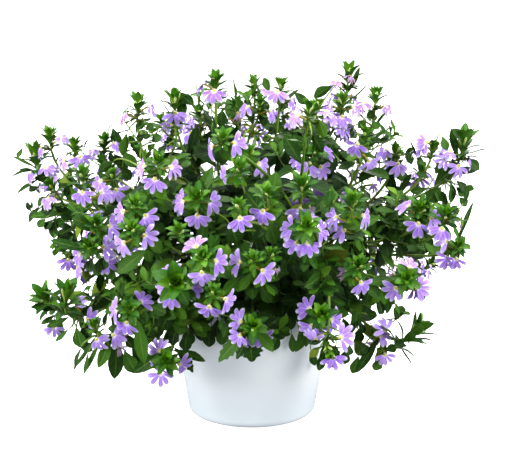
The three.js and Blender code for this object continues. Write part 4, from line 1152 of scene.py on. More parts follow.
def sweep_tubes(centre, start_across, radius, sides):
    """Round rings of tubes: each ring stands square to its centre line, turned as little as can be."""
    tangent = unit(np.gradient(centre, axis=1))
    across = start_across
    turn = np.arange(sides) * 2 * np.pi / sides
    rings = []
    for station in range(centre.shape[1]):
        ahead = tangent[:, station]
        across = square_to(across, ahead)
        other = np.cross(ahead, across)
        spokes = across[:, None] * np.cos(turn)[:, None] + other[:, None] * np.sin(turn)[:, None]
        rings.append(centre[:, station, None] + spokes * radius[:, station, None, None])
    return np.stack(rings, 1)


def bend_through(start, middle, end, t):
    """A curve that leaves toward its middle point: (1-t)^2, 2(1-t)t and t^2 of the three points."""
    t = t[:, None]
    start, middle, end = start[:, None], middle[:, None], end[:, None]
    return (1 - t) ** 2 * start + 2 * (1 - t) * t * middle + t**2 * end


STEM_PAINT, LEAF_PAINT, TIP_PAINT, PETAL_PAINT, EYE_PAINT, BUD_PAINT, FADED_PAINT = range(7)

LEAF_STATIONS = np.array([0.09, 0.28, 0.47, 0.64, 0.79, 0.92])
SMALL_LEAF_STATIONS = np.array([0.12, 0.36, 0.6, 0.78, 0.92])
BRACT_STATIONS = np.array([0.14, 0.36, 0.58, 0.78, 0.92])
TOOTHED_STATIONS = np.array([0.07, 0.2, 0.32, 0.42, 0.46, 0.56, 0.6, 0.7, 0.74, 0.83, 0.87, 0.95])
TOOTH_DEPTHS = np.array([1, 1, 1, 1.1, 0.84, 1.1, 0.82, 1.12, 0.78, 1.15, 0.75, 1])
PETAL_STATIONS = np.array([0.1, 0.3, 0.52, 0.72, 0.88, 0.97])
PETAL_WIDTHS = np.array([0.42, 0.66, 0.92, 1.0, 0.76, 0.34])
TUBE_STATIONS = np.array([0.02, 0.2, 0.45, 0.7, 0.9, 1.0])
TUBE_RADII = np.array([[1.0, 1.05, 0.8, 0.9, 1.4, 2.0]])
BUD_STATIONS = np.array([0.1, 0.3, 0.55, 0.75, 0.9])
BUD_RADII = np.array([0.5, 0.75, 1.3, 1.45, 0.85])


def add_leaves(growth, leaves, stations, depths, rng):
    """Leaves from their foot to their tip.

    The midrib bends back by bend * length * s^2, the half width follows sin(pi * s^1.4)^0.9, widest
    past its middle, and the foot narrows into a short stalk.
    """
    if not leaves:
        return
    base, foot, way, normal, length, width, bend = (
        np.array([leaf[key] for leaf in leaves])
        for key in ("base", "foot", "way", "normal", "length", "width", "bend")
    )
    count = len(leaves)
    side = np.cross(normal, way)
    s = stations[None, :, None]
    reach = length[:, None, None]
    centre = base[:, None] + way[:, None] * reach * s
    centre = centre - normal[:, None] * bend[:, None, None] * reach * s**2
    centre = centre + (foot - base)[:, None] * (1 - s) ** 2
    sway = rng.normal(0, LEAF_FORM["sway"], (count, 1, 1))
    centre = centre + side[:, None] * reach * sway * np.sin(np.pi * s)
    profile = np.sin(np.pi * stations**1.4) ** 0.9 * depths
    half_width = width[:, None] / 2 * profile + LEAF_FORM["stalk"]
    slope = 2 * bend[:, None, None] * s
    upper = unit(normal[:, None] + way[:, None] * slope)
    tilt = rng.normal(0, LEAF_FORM["tilt"], (count, 1, 1))
    sides = unit(side[:, None] + upper * tilt * (1 + s))
    face = unit(np.cross(way[:, None], sides))
    fold = rng.uniform(*LEAF_FORM["fold"], (count, 1, 1))
    height, rate = LEAF_FORM["wave"]
    ruffle = height * np.sin(rate * stations + rng.uniform(0, ROUND, (count, 1)))
    rings = sweep_blades(centre, sides, face, half_width, fold, LEAF_FORM["thickness"], ruffle)
    end = base + way * length[:, None] - normal * (bend * length)[:, None]
    tone = rng.uniform(0, 1, count)
    age = np.array([leaf.get("age", LEAF_FORM["age"]) for leaf in leaves])
    age = age + rng.normal(0, LEAF_FORM["age_varies"], count)
    growth.add(rings, foot, end, LEAF_PAINT, BLADE_ACROSS, tone, age, BLADE_RIMS)


def add_stems(growth, stem, rng):
    """Round stems along their smooth curves, thicker at the root, and thin twigs.

    A stem swells a little at each node: its radius is times 1 + 0.07 sin(distance / 2.6 + phase).
    """
    t = np.linspace(0, 1, 22)
    for index, line in enumerate(stem["lines"]):
        centre = line.curve(t)[None]
        root, end = STEM_RADII["side" if index else "main"]
        thick = root + (end - root) * t
        node = np.sin(t * line.total / NODE_SPACING + rng.uniform(0, 6))
        radius = thick * (1 + NODE_SWELLING * node)
        rings = sweep_tubes(centre, STEM_ACROSS, radius[None], 8)
        around = np.cos(np.arange(8) * np.pi / 4)
        tone = rng.uniform(0, 1)
        growth.add(rings, centre[:, 0], centre[:, -1], STEM_PAINT, around, tone, 1 - 0.6 * bool(index))
    for twig, part in stem["twigs"]:
        centre = twig.curve(np.linspace(0, part, 7))[None]
        radius = np.linspace(*STEM_RADII["twig"], 7)[None]
        rings = sweep_tubes(centre, STEM_ACROSS, radius, 5)
        growth.add(rings, centre[:, 0], centre[:, -1], STEM_PAINT, np.zeros(5), rng.uniform(0, 1), 0.3)


# The tiers of a leafy tip: bracts, where their foot sits and how long they are (both in shares of the
# tip's length), their lean from the axis in degrees, and their age.
TIERS = [
    (4, -0.66, 0.95, 72, 0.8), (5, -0.3, 1.08, 56, 0.55), (5, 0.0, 1.08, 38, 0.3),
    (4, 0.14, 0.92, 22, 0.12), (3, 0.24, 0.72, 7, 0.0),
]


def add_crown(growth, head, rng):
    """The leafy tip: tiers of broad bracts that rise and arch outward, the upper ones steeper.

    A tip that opens to the viewer is a flatter rosette: its bracts lean more and are broader.
    """
    axis, below, side, neck = (head[key][None] for key in ("axis", "below", "side", "neck"))
    tip = head["tip"]
    opening = head["openness"] / CROWN["fully_open"]
    rosette = tip > ROSETTE["tip"] and opening > ROSETTE["opening"]
    spin = rng.uniform(0, 2 * np.pi)
    for count, foot, share, lean, age in TIERS[1:] if rosette else TIERS:
        spin += 0.61
        turn = spin + np.arange(count) * 2 * np.pi / count + rng.normal(0, 0.16, count)
        out = below * np.cos(turn)[:, None] + side * np.sin(turn)[:, None]
        angle = np.radians(lean * (1 + 0.3 * opening) + rng.normal(0, 7, count))[:, None]
        length = tip * share * (1 + 0.12 * opening) * rng.uniform(0.82, 1.12, (count, 1))
        start = neck + axis * tip * foot * (1 - 0.45 * opening) + out * 0.7
        end = start + (axis * np.cos(angle) + out * np.sin(angle)) * length
        middle = start + (axis * np.cos(angle * 0.45) + out * np.sin(angle * 0.45)) * length * 0.5
        centre = bend_through(start, middle, end, BRACT_STATIONS)
        ahead = unit(np.gradient(bend_through(start, middle, end, np.linspace(0, 1, 8)), axis=1))
        ahead = ahead[:, [1, 2, 4, 5, 6]]
        broad = length * (0.17 + 0.04 * opening + rng.uniform(-0.02, 0.04, (count, 1))) + 0.6
        broad = broad * (1.12 if rosette else 0.84)
        half_width = broad * np.sin(np.pi * BRACT_STATIONS**1.2) ** 0.8
        sides = np.cross(axis, out)[:, None] + ahead * rng.normal(0, 0.1, (count, 1, 1))
        sides = unit(sides - ahead * np.sum(sides * ahead, -1, keepdims=True))
        rings = sweep_blades(centre, sides, unit(np.cross(ahead, sides)), half_width, 0.28, 0.2)
        ages = np.clip(age + rng.normal(0, 0.1, count), 0, 1)
        growth.add(rings, start, end, TIP_PAINT, BLADE_ACROSS, rng.uniform(0, 1, count), ages, BLADE_RIMS)
    add_buds(growth, head, 2 + int(tip > BUDDY_TIP), rng)


def add_buds(growth, head, count, rng):
    """Slim buds among the bracts: round rings, thickest at three quarters of the length."""
    axis, below, side, neck = (head[key][None] for key in ("axis", "below", "side", "neck"))
    turn = rng.uniform(0, 2 * np.pi) + np.arange(count) * 2.4
    out = below * np.cos(turn)[:, None] + side * np.sin(turn)[:, None]
    share = rng.uniform(0.5, 0.8, (count, 1))
    start = neck - axis + out * 0.5
    end = neck + axis * head["tip"] * rng.uniform(0.42, 0.7, (count, 1)) + out * crown_reach(head) * share
    middle = start + axis * head["tip"] * 0.3 + out * 1.5
    centre = bend_through(start, middle, end, BUD_STATIONS)
    radius = BUD_RADII * rng.uniform(0.85, 1.15, (count, 1))
    rings = sweep_tubes(centre, unit(out + 0.2), radius, 6)
    growth.add(rings, start, end, BUD_PAINT, np.zeros(6), rng.uniform(0, 1, count), 0.2)


def add_petals(growth, bloom, faded, tone, rng):
    """Five petals that spread on one side of the throat.

    A petal's midrib rises by sin(pi * s) and drops again by s^2; its rims are lifted and ruffled.
    A faded bloom's petals are narrow and curl together.
    """
    throat, middle, normal = bloom["throat"], bloom["middle"], bloom["normal"]
    side = np.cross(normal, middle)
    spread = BLOOM["spread"] * (0.55 if faded else rng.uniform(0.92, 1.05))
    turn = np.radians(np.arange(-2, 3) * spread + rng.normal(0, 3.5, 5))[:, None]
    way = middle * np.cos(turn) + side * np.sin(turn)
    sides = np.cross(normal, way)
    start = throat + way * 0.9 + normal * 0.3
    length = bloom["radius"] * rng.uniform(0.92, 1.04, 5)[:, None, None] - 0.9
    s = PETAL_STATIONS[None, :, None]
    rise = rng.uniform(0.6, 1.5, (5, 1, 1)) * bloom["size"]
    sag = rng.uniform(1.0, 2.4, (5, 1, 1)) * bloom["size"]
    sway = rng.normal(0, 0.5, (5, 1, 1))
    lift = rise * np.sin(np.pi * s) - sag * s**2
    if faded:
        lift = rise * 3 * np.sin(np.pi * s * 0.8) - 1.5 * sag * s**2
        sway = rng.normal(0, 1.6, (5, 1, 1))
    centre = start[:, None] + way[:, None] * length * s + normal * lift + sides[:, None] * sway * s**2
    half_width = np.broadcast_to(PETAL_WIDTHS * (1.2 if faded else 2.3) * bloom["size"], (5, 6))
    half_width = half_width * rng.uniform(0.9, 1.08, (5, 1))
    ruffle = 0.35 * np.sin(8 * PETAL_STATIONS + rng.uniform(0, ROUND, (5, 1)))
    fold = rng.uniform(0.5, 0.9) if faded else rng.uniform(0.06, 0.22)
    upper = np.broadcast_to(normal, centre.shape)
    tilted = np.broadcast_to(sides[:, None], centre.shape) + upper * rng.normal(0, 0.14, (5, 1, 1))
    rings = sweep_blades(centre, unit(tilted), upper, half_width, fold, 0.16, ruffle)
    end = start + way * length[:, 0] + normal * (lift[:, -1] - 0.1) + sides * sway[:, 0]
    paint = FADED_PAINT if faded else PETAL_PAINT
    tones = np.clip(tone + rng.normal(0, 0.08, 5), 0, 1)
    growth.add(rings, start, end, paint, BLADE_ACROSS, tones, tone, BLADE_RIMS)


def add_tube(growth, bloom, faded, tone):
    """A bloom's slender tube, which widens to the throat and closes in a low dome, its yellow eye."""
    throat, normal = bloom["throat"], bloom["normal"]
    foot = bloom["rounded_foot"][None]
    bend = throat - normal * 4 * bloom["size"]
    centre = bend_through(foot, bend[None], (throat + normal * 0.3)[None], TUBE_STATIONS)
    radius = TUBE_RADII * (0.6 + 0.4 * bloom["size"])
    rings = sweep_tubes(centre, bloom["out"][None] + 0.1, radius, 8)
    dome = throat + normal * 0.85 + bloom["middle"] * 0.2
    growth.add(rings, foot, dome[None], EYE_PAINT, np.zeros(8), tone, float(faded))


def add_bloom(growth, bloom, rng):
    """A bloom: five petals, a tube with a yellow eye, and the three small bracts at its foot."""
    faded = bloom["size"] < WITHERED
    tone = rng.uniform(0, 1)
    add_petals(growth, bloom, faded, tone, rng)
    add_tube(growth, bloom, faded, tone)
    foot = bloom["rounded_foot"]
    sideways = np.cross(bloom["tangent"], bloom["out"])
    bracts = []
    for lean, rise in ((0.0, -0.12), (0.75, 0.4), (-0.75, 0.4)):
        way = unit(bloom["out"] * 0.9 + sideways * lean + bloom["tangent"] * rise)
        length = rng.uniform(9, 13)
        bracts.append(make_leaf(foot, way, bloom["tangent"], length, rng.uniform(3.2, 4.6), 0.1, age=0.25))
    return bracts


def grow_stem_piece(stem, materials):
    """One leafy stem with all that grows on it, in place of its solid."""
    rng = np.random.default_rng(5000 + stem["number"])
    growth = Growth()
    add_stems(growth, stem, rng)
    for head in stem["heads"]:
        add_crown(growth, head, rng)
    small = []
    for bloom in stem["blooms"]:
        small.extend(add_bloom(growth, bloom, rng))
    plain = [leaf for leaf in stem["leaves"] if not leaf["teeth"]]
    toothed = [leaf for leaf in stem["leaves"] if leaf["teeth"]]
    small += [leaf for leaf in plain if leaf["length"] < SMALL_LEAF]
    large = [leaf for leaf in plain if leaf["length"] >= SMALL_LEAF]
    add_leaves(growth, large, LEAF_STATIONS, 1, rng)
    add_leaves(growth, small, SMALL_LEAF_STATIONS, 1, rng)
    add_leaves(growth, toothed, TOOTHED_STATIONS, TOOTH_DEPTHS, rng)
    number = f"{stem['number']:02d}"
    piece = growth.make(f"grown_stem_{number}", materials)
    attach(piece, "root")
    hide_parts(f"leafy_stem_{number}")


def rounded_outline(corners):
    """A turned outline with its corners rounded.

    Each corner is [radius, height, rounding]; a rounded corner bends from as far before it to as far
    after it as the rounding says.
    """
    corners = np.array(corners, float)
    outline = []
    for index, (radius, height, rounding) in enumerate(corners):
        here = np.array([radius, height])
        if rounding == 0:
            outline.append(here)
            continue
        before = corners[index - 1, :2] - here
        after = corners[index + 1, :2] - here
        start = here + before / np.linalg.norm(before) * rounding
        end = here + after / np.linalg.norm(after) * rounding
        outline.extend(bend_through(start[None], here[None], end[None], np.linspace(0, 1, 6))[0])
    return np.array(outline)


def turned_piece(name, outline, sides, material, lift=None):
    """A round body: each [radius, height] of the outline carried round the axis.

    The first and last points lie on the axis. lift, where given, adds to a point's height by its place.
    """
    turn = np.arange(sides) * 2 * np.pi / sides
    radius, height = outline[1:-1].T
    rings = np.stack([
        radius[:, None] * np.cos(turn),
        radius[:, None] * np.sin(turn),
        np.broadcast_to(height[:, None], (len(radius), sides)),
    ], -1)
    poles = [vec(0, 0, outline[end, 1]) for end in (0, -1)]
    if lift:
        rings[..., 2] += lift(rings)
    growth = Growth()
    growth.add(rings[None], poles[0][None], poles[1][None], 0, np.zeros(sides))
    piece = growth.make(name, [material])
    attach(piece, "root")
    return piece


def make_cover_pot(material):
    """The cover pot: a smooth leaning wall on a small rounded foot, with a thin rounded rim.

    Its outline runs from the foot's middle out, up the wall, over the rim, and down to the floor.
    """
    height, foot, rim = COVER["height"], COVER["foot_radius"], COVER["rim_radius"]
    wall, floor = COVER["wall"], COVER["floor"]
    lean = (rim - foot) / height
    outline = rounded_outline([
        [0, 0, 0], [foot - 14, 0, 0], [foot, 0, 7], [foot + lean * 40, 40, 0],
        [foot + lean * 80, 80, 0], [rim, height, 1.1], [rim - wall, height, 1.1],
        [rim - wall - lean * 60, height - 60, 0], [foot - wall, floor, 7], [foot - 20, floor, 0],
        [0, floor, 0],
    ])
    piece = turned_piece("white_cover_pot", outline, 144, material)
    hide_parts("cover_pot")


def make_nursery_pot(material):
    """The grower's pot: a thin wall that steps out into a rolled lip, and four drain holes below."""
    foot, height, wall, floor = NURSERY["foot"], NURSERY["height"], NURSERY["wall"], NURSERY["floor"]
    low, rim, out = NURSERY["foot_radius"], NURSERY["rim_radius"], NURSERY["lip_out"]
    step = height - NURSERY["lip_height"]
    outline = rounded_outline([
        [0, foot, 0], [low - 4, foot, 0], [low, foot, 2], [rim - 1, step, 0.8], [rim + out, step, 1.0],
        [rim + out, height, 0.6], [rim + out - wall, height, 0.6], [rim + out - wall - 0.6, step + 3, 0],
        [rim - wall, step + 1.5, 1], [low - wall, foot + floor, 1.6], [0, foot + floor, 0],
    ])
    piece = turned_piece("grower_pot", outline, 120, material)
    angle = (np.arange(DRAIN["count"]) + 0.5) * 2 * np.pi / DRAIN["count"]
    centres = np.stack([np.cos(angle), np.sin(angle)], -1) * DRAIN["ring"]
    turn = np.arange(24) * 2 * np.pi / 24
    levels = np.array([foot - 3, foot + floor + 3])
    rings = np.zeros((DRAIN["count"], 2, 24, 3))
    rings[..., :2] = centres[:, None, None] + DRAIN["radius"] * np.stack([np.cos(turn), np.sin(turn)], -1)
    rings[..., 2] = levels[:, None]
    poles = [np.column_stack([centres, np.full(DRAIN["count"], level)]) for level in levels]
    cutters = Growth()
    cutters.add(rings, poles[0], poles[1], 0, np.zeros(24))
    cutter = cutters.make("drain_cutter", [])
    holes = piece.modifiers.new("drain holes", "BOOLEAN")
    holes.object = cutter
    bpy.context.view_layer.update()
    cut = bpy.data.meshes.new_from_object(piece.evaluated_get(bpy.context.evaluated_depsgraph_get()))
    piece.modifiers.clear()
    piece.data = cut
    bpy.data.objects.remove(cutter)
    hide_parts("nursery_pot")


# The soil's waves: their lengths and sizes in millimetres, and the least and greatest height of crumbs.
CRUMB_WAVES = [(31, 1.3), (17, 0.9), (9, 0.7), (5.3, 0.55), (3.1, 0.4)]
CRUMB_HEIGHTS = (-2.4, 1.4)


def crumb(x, y):
    """Uneven soil: half the sum of size * sin(distance / length * turn), in three ways a wave."""
    height = 0
    for wave, (length, size) in enumerate(CRUMB_WAVES):
        for turn in (0.4 + wave, 1.9 + 2 * wave, 3.3 + wave):
            along = x * np.cos(turn) + y * np.sin(turn)
            height = height + size * np.sin(along / length * ROUND + turn * 5)
    return height / 2


def make_soil(material):
    """Potting soil: a filled round body with a crumbly top that settles toward the wall."""
    bottom = NURSERY["foot"] + NURSERY["floor"] + SOIL["gap"]
    low = NURSERY["foot_radius"] - NURSERY["wall"] - SOIL["gap"] - 0.4
    top = SOIL["top"]
    level = top - 1.5
    inside = NURSERY["rim_radius"] - NURSERY["wall"] - SOIL["gap"] - 0.8
    surface = [[radius, level] for radius in np.linspace(inside - 2.5, 1.5, 46)]
    sides = [[low, bottom + 1], [inside - 1, top - 5]]
    outline = np.array([[0, bottom], [low - 1, bottom], *sides, *surface, [0, level]])

    def lift(rings):
        """Crumbs on the surface only."""
        x, y, z = rings[..., 0], rings[..., 1], rings[..., 2]
        return np.where(z > top - 2, np.clip(crumb(x, y), *CRUMB_HEIGHTS), 0)

    piece = turned_piece("crumbly_soil", outline, 150, material, lift)
    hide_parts("soil")


class Wire:
    """A socket of a node tree that takes part in sums: each operator adds its Math node."""

    def __init__(self, tree, socket):
        self.tree = tree
        self.socket = socket

    def math(self, operation, *values):
        """A Math node of these values, wires or numbers."""
        node = self.tree.nodes.new("ShaderNodeMath")
        node.operation = operation
        for place, value in zip(node.inputs, values):
            connect(self.tree, value, place)
        return Wire(self.tree, node.outputs[0])

    def __add__(self, other):
        return self.math("ADD", self, other)

    __radd__ = __add__

    def __sub__(self, other):
        return self.math("SUBTRACT", self, other)

    def __rsub__(self, other):
        return self.math("SUBTRACT", other, self)

    def __mul__(self, other):
        return self.math("MULTIPLY", self, other)

    def __abs__(self):
        return self.math("ABSOLUTE", self)

    def sine(self):
        return self.math("SINE", self)


def connect(tree, value, place):
    """Puts a wire's link or a plain value into a socket."""
    if isinstance(value, Wire):
        tree.links.new(value.socket, place)
    else:
        place.default_value = value


class Paint:
    """One material in the making."""

    def __init__(self, name):
        self.material = bpy.data.materials.new(name)
        self.material.use_nodes = True
        self.tree = self.material.node_tree
        self.shader = self.tree.nodes["Principled BSDF"]

    def node(self, kind, settings=(), sockets=(), output=0):
        """A node of any type: its settings first, then the values or links of its sockets."""
        node = self.tree.nodes.new(kind)
        for key, value in dict(settings).items():
            setattr(node, key, value)
        for key, value in dict(sockets).items():
            connect(self.tree, value, node.inputs[key])
        return Wire(self.tree, node.outputs[output])

    def place(self):
        """The place in Object coordinates, in metres."""
        return self.node("ShaderNodeTexCoord", output="Object")

    def noise(self, scale, detail, roughness=0.5):
        """Soft noise from 0 to 1, its scale in waves a metre."""
        sockets = {"Vector": self.place(), "Scale": scale, "Detail": detail, "Roughness": roughness}
        return self.node("ShaderNodeTexNoise", {"noise_dimensions": "3D"}, sockets, "Fac")

    def step(self, value, low, high):
        """0 below low, 1 above high, smooth between."""
        sockets = {"Value": value, "From Min": low, "From Max": high}
        return self.node("ShaderNodeMapRange", {"interpolation_type": "SMOOTHSTEP"}, sockets)

    def mix(self, share, first, second):
        """The first colour where the share is 0, the second where it is 1."""
        settings = {"data_type": "RGBA", "blend_type": "MIX"}
        return self.node("ShaderNodeMix", settings, {0: share, 6: first, 7: second}, 2)

    def layered(self, colour, *layers):
        """Colours laid over one another, each as (share, red, green, blue) with the colour on a screen."""
        for share, *shade in layers:
            colour = self.mix(share, colour, srgb(*shade))
        return colour

    def blade(self):
        """The place across the blade, from -1 to 1, along it, from 0 to 1, and the blade's tone."""
        held = self.node("ShaderNodeAttribute", {"attribute_name": "blade"}, output="Vector")
        split = self.tree.nodes.new("ShaderNodeSeparateXYZ")
        self.tree.links.new(held.socket, split.inputs[0])
        return (Wire(self.tree, output) for output in split.outputs)

    def age(self):
        """The blade's age, from 0 to 1."""
        return self.node("ShaderNodeAttribute", {"attribute_name": "age"}, output="Fac")

    def reach(self):
        """How far out in the plant a place lies: 0 at the dome's middle, 1 at its surface."""
        middle = (0, 0, DOME["middle"] / 1000)
        half = tuple((DOME["half"] / 1000).tolist())
        offset = self.node("ShaderNodeVectorMath", {"operation": "SUBTRACT"}, {0: self.place(), 1: middle})
        share = self.node("ShaderNodeVectorMath", {"operation": "DIVIDE"}, {0: offset, 1: half})
        return self.node("ShaderNodeVectorMath", {"operation": "LENGTH"}, {0: share}, "Value")

    def finish(self, colour, roughness, height, strength, distance, **sockets):
        """The material with its colour, its roughness, a bump of that height, and other sockets."""
        relief = {"Height": height, "Strength": strength, "Distance": distance}
        bump = self.node("ShaderNodeBump", (), relief)
        return self.dress(Base_Color=colour, Roughness=roughness, Normal=bump, **sockets)

    def dress(self, **sockets):
        """The material with sockets of its shader set, named with _ for a space."""
        for key, value in sockets.items():
            connect(self.tree, value, self.shader.inputs[key.replace("_", " ")])
        return self.material


def srgb(red, green, blue):
    """A colour given as it shows on a screen, from 0 to 255, as the shader's linear light."""
    shares = np.array([red, green, blue]) / 255
    linear = np.where(shares <= 0.04045, shares / 12.92, ((shares + 0.055) / 1.055) ** 2.4)
    return (*linear.tolist(), 1.0)


def leaf_paint():
    """Leaf: darker with age, with painted shade deep in the plant, pale midrib and veins, finely pitted, a
    soft sheen.

    Seven side veins run where sin(2 pi * 7 * (along - 0.16 |across|)) is near 1.
    """
    paint = Paint("leaf_green")
    across, along, tone = paint.blade()
    age = paint.age()
    young = paint.mix(tone, srgb(32, 92, 4), srgb(90, 134, 16))
    grown = paint.mix(tone, srgb(13, 54, 5), srgb(60, 106, 20))
    old = paint.mix(tone, srgb(6, 32, 5), srgb(38, 72, 22))
    colour = paint.mix(paint.step(age, 0.15, 0.6), young, grown)
    colour = paint.mix(paint.step(age, 0.5, 0.9), colour, old)
    mottle = paint.noise(260, 3)
    rib = 1 - paint.step(abs(across), 0.03, 0.14)
    wave = ((along - abs(across) * 0.16) * (7 * 6.2832)).sine()
    line = paint.step(wave, 0.75, 1.0)
    colour = paint.layered(
        colour,
        (paint.step(tone, 0.95, 0.99) * 0.5, 140, 150, 36),
        (paint.step(mottle, 0.35, 0.75) * 0.2, 66, 108, 28),
        (line * 0.15, 92, 134, 44),
        (rib * 0.3, 112, 148, 52),
        # Painted shade: near-black green laid over the leaves the deeper they sit in the dome.
        ((1 - paint.step(paint.reach(), 0.4, 0.95)) * 0.7, 4, 24, 3),
    )
    height = rib * -0.9 - line * 0.35 + paint.noise(2600, 2) * 0.5
    return paint.finish(colour, 0.4 + mottle * 0.2, height, 0.5, 0.0005, Specular_IOR_Level=0.14)


def tip_paint():
    """Young bracts at the tips: bright yellow-green, paler at the foot and along the midrib."""
    paint = Paint("tip_green")
    across, along, tone = paint.blade()
    age = paint.age()
    colour = paint.mix(tone, srgb(38, 100, 3), srgb(90, 142, 12))
    older = paint.mix(tone, srgb(20, 74, 8), srgb(66, 112, 34))
    rib = 1 - paint.step(abs(across), 0.04, 0.18)
    mottle = paint.noise(420, 3)
    colour = paint.layered(
        paint.mix(paint.step(age, 0.1, 0.65), colour, older),
        ((1 - paint.step(along, 0.0, 0.45)) * 0.45, 126, 160, 44),
        (rib * 0.25, 112, 150, 40),
        (paint.step(mottle, 0.4, 0.8) * 0.3, 34, 84, 8),
    )
    height = rib * -0.8 + paint.noise(3200, 2) * 0.4
    return paint.finish(colour, 0.4 + mottle * 0.15, height, 0.45, 0.0004, Specular_IOR_Level=0.25)


def stem_paint():
    """Stem: yellow-green with reddish brown patches, finely ridged along its length."""
    paint = Paint("stem_green")
    across, along, tone = paint.blade()
    patch = paint.step(paint.noise(48, 3), 0.45, 0.7)
    colour = paint.layered(
        srgb(84, 128, 22),
        (tone, 112, 148, 44),
        (patch * 0.4, 104, 66, 30),
        ((1 - paint.step(along, 0.0, 0.3)) * 0.5, 68, 62, 36),
    )
    ridge = (across * 14).sine()
    height = ridge * 0.4 + paint.noise(1500, 2)
    return paint.finish(colour, 0.42 + patch * 0.15, height, 0.4, 0.0004)


def petal_paint():
    """Petal: lilac with a pale band along it, nearly white at the foot and the tip, and fine veins."""
    paint = Paint("lilac_petal")
    across, along, tone = paint.blade()
    wide = abs(across)
    colour = paint.mix(tone, srgb(146, 94, 224), srgb(176, 132, 244))
    pale = paint.mix(tone, srgb(204, 186, 252), srgb(226, 218, 254))
    colour = paint.mix(paint.step(wide, 0.4, 1.0) * 0.5, colour, pale)
    band = (1 - paint.step(wide, 0.1, 0.6)) * paint.step(along, 0.35, 0.8)
    vein = paint.step((across * 11).sine(), 0.6, 1.0) * paint.step(along, 0.15, 0.4)
    blotch = paint.noise(330, 2)
    colour = paint.layered(
        paint.mix(band * 0.5, colour, pale),
        (paint.step(along, 0.56, 0.88) * 0.9, 236, 234, 254),
        (vein * 0.25, 150, 108, 222),
        (paint.step(blotch, 0.45, 0.75) * 0.25, 172, 140, 240),
        ((1 - paint.step(along, 0.1, 0.26)) * 0.85, 236, 226, 240),
    )
    height = vein * -0.6 + paint.noise(2400, 2) * 0.5 - (1 - paint.step(wide, 0.0, 0.2)) * 0.8
    return paint.finish(
        colour, 0.5 + blotch * 0.12, height, 0.4, 0.0004, Specular_IOR_Level=0.3, Subsurface_Weight=0.35,
        Subsurface_Radius=(0.8, 0.76, 1.0), Subsurface_Scale=0.002,
    )


def faded_paint():
    """Withered petal: dull lilac that browns toward the tip."""
    paint = Paint("faded_petal")
    across, along, tone = paint.blade()
    brown = paint.step(along + paint.noise(240, 3) * 0.8, 0.6, 1.3)
    colour = paint.layered(srgb(160, 132, 190), (tone, 186, 160, 200), (brown * 0.8, 142, 104, 92))
    ridge = (across * 9).sine()
    height = ridge * 0.5 + paint.noise(1800, 3)
    return paint.finish(colour, 0.62 + brown * 0.1, height, 0.6, 0.0005)


def eye_paint():
    """The bloom's tube: green at its foot, then ochre, and a yellow throat inside a cream ring."""
    paint = Paint("bloom_tube")
    _, along, tone = paint.blade()
    fading = paint.age()
    colour = paint.layered(
        srgb(158, 130, 24),
        (tone, 188, 170, 66),
        (1 - paint.step(along, 0.15, 0.4), 104, 128, 30),
        (paint.step(along, 0.62, 0.74), 232, 224, 220),
        (paint.step(along, 0.86, 0.92), 210, 204, 66),
        (fading * 0.6, 150, 112, 96),
    )
    grain = paint.noise(1500, 2)
    return paint.finish(colour, 0.5 + grain * 0.12, grain, 0.4, 0.0004)


def bud_paint():
    """Bud: green at the foot, creamy green in the middle, tinged with lilac at the tip."""
    paint = Paint("bud_green")
    across, along, tone = paint.blade()
    colour = paint.layered(
        srgb(150, 184, 74),
        (tone, 192, 204, 122),
        (paint.step(along, 0.7, 1.0) * tone * 0.5, 206, 190, 214),
        (1 - paint.step(along, 0.0, 0.35), 96, 146, 42),
    )
    grain = paint.noise(1300, 3)
    height = (across * 8).sine() * 0.3 + grain
    return paint.finish(colour, 0.42 + grain * 0.16, height, 0.4, 0.0004)


def glaze_paint():
    """Satin white glaze: a faint cool tint, with painted shade that greys it toward the foot, slow waves
    and tiny specks.
    """
    paint = Paint("white_glaze")
    cloud = paint.noise(14, 3)
    light = paint.step(cloud, 0.35, 0.7)
    upper = paint.mix(light, srgb(241, 248, 254), srgb(246, 252, 255))
    # Painted shade: a greyer copy of the glaze, blended in below 55 mm and full below 10 mm.
    lower = paint.mix(light, srgb(215, 224, 231), srgb(219, 228, 235))
    level = paint.node("ShaderNodeSeparateXYZ", (), {0: paint.place()}, "Z")
    colour = paint.mix(paint.step(level, 0.01, 0.055), lower, upper)
    speck = paint.step(paint.noise(900, 2), 0.7, 0.76)
    colour = paint.mix(speck * 0.2, colour, srgb(214, 220, 222))
    peel = paint.noise(420, 2)
    wave = paint.noise(36, 1)
    height = peel * 0.25 + wave * 1.2
    return paint.finish(
        colour, 0.34 + peel * 0.1 + speck * 0.15, height, 0.12, 0.001, Coat_Weight=0.25 + cloud * 0.1,
        Coat_Roughness=0.16,
    )


def plastic_paint():
    """Dark red plastic with a matt grain, dusted with soil and dulled by water marks."""
    paint = Paint("dark_red_plastic")
    dust = paint.step(paint.noise(70, 4), 0.5, 0.75)
    marks = paint.noise(24, 2)
    colour = paint.layered(srgb(104, 22, 26), (marks, 126, 32, 34), (dust * 0.35, 122, 84, 68))
    grain = paint.noise(2600, 2)
    return paint.finish(colour, 0.42 + dust * 0.25 + grain * 0.1, grain, 0.3, 0.0003)


def soil_paint():
    """Potting soil: dark brown crumbs, lighter where they stand higher, with pale bits of perlite."""
    paint = Paint("potting_soil")
    clod = paint.noise(160, 5, roughness=0.65)
    fine = paint.noise(900, 3)
    sockets = {"Vector": paint.place(), "Scale": 210.0}
    grit = paint.node("ShaderNodeTexVoronoi", {"feature": "F1"}, sockets, "Distance")
    bit = (1 - paint.step(grit, 0.12, 0.2)) * paint.step(paint.noise(60, 2), 0.5, 0.6)
    colour = paint.layered(
        srgb(30, 21, 16),
        (paint.step(clod, 0.35, 0.7), 74, 54, 40),
        (paint.step(fine, 0.5, 0.8) * 0.5, 96, 74, 56),
        (bit, 206, 200, 188),
    )
    height = clod * 1.5 + fine * 0.6 + bit * 0.5
    return paint.finish(colour, 0.82 + fine * 0.15, height, 0.9, 0.002, Specular_IOR_Level=0.25)


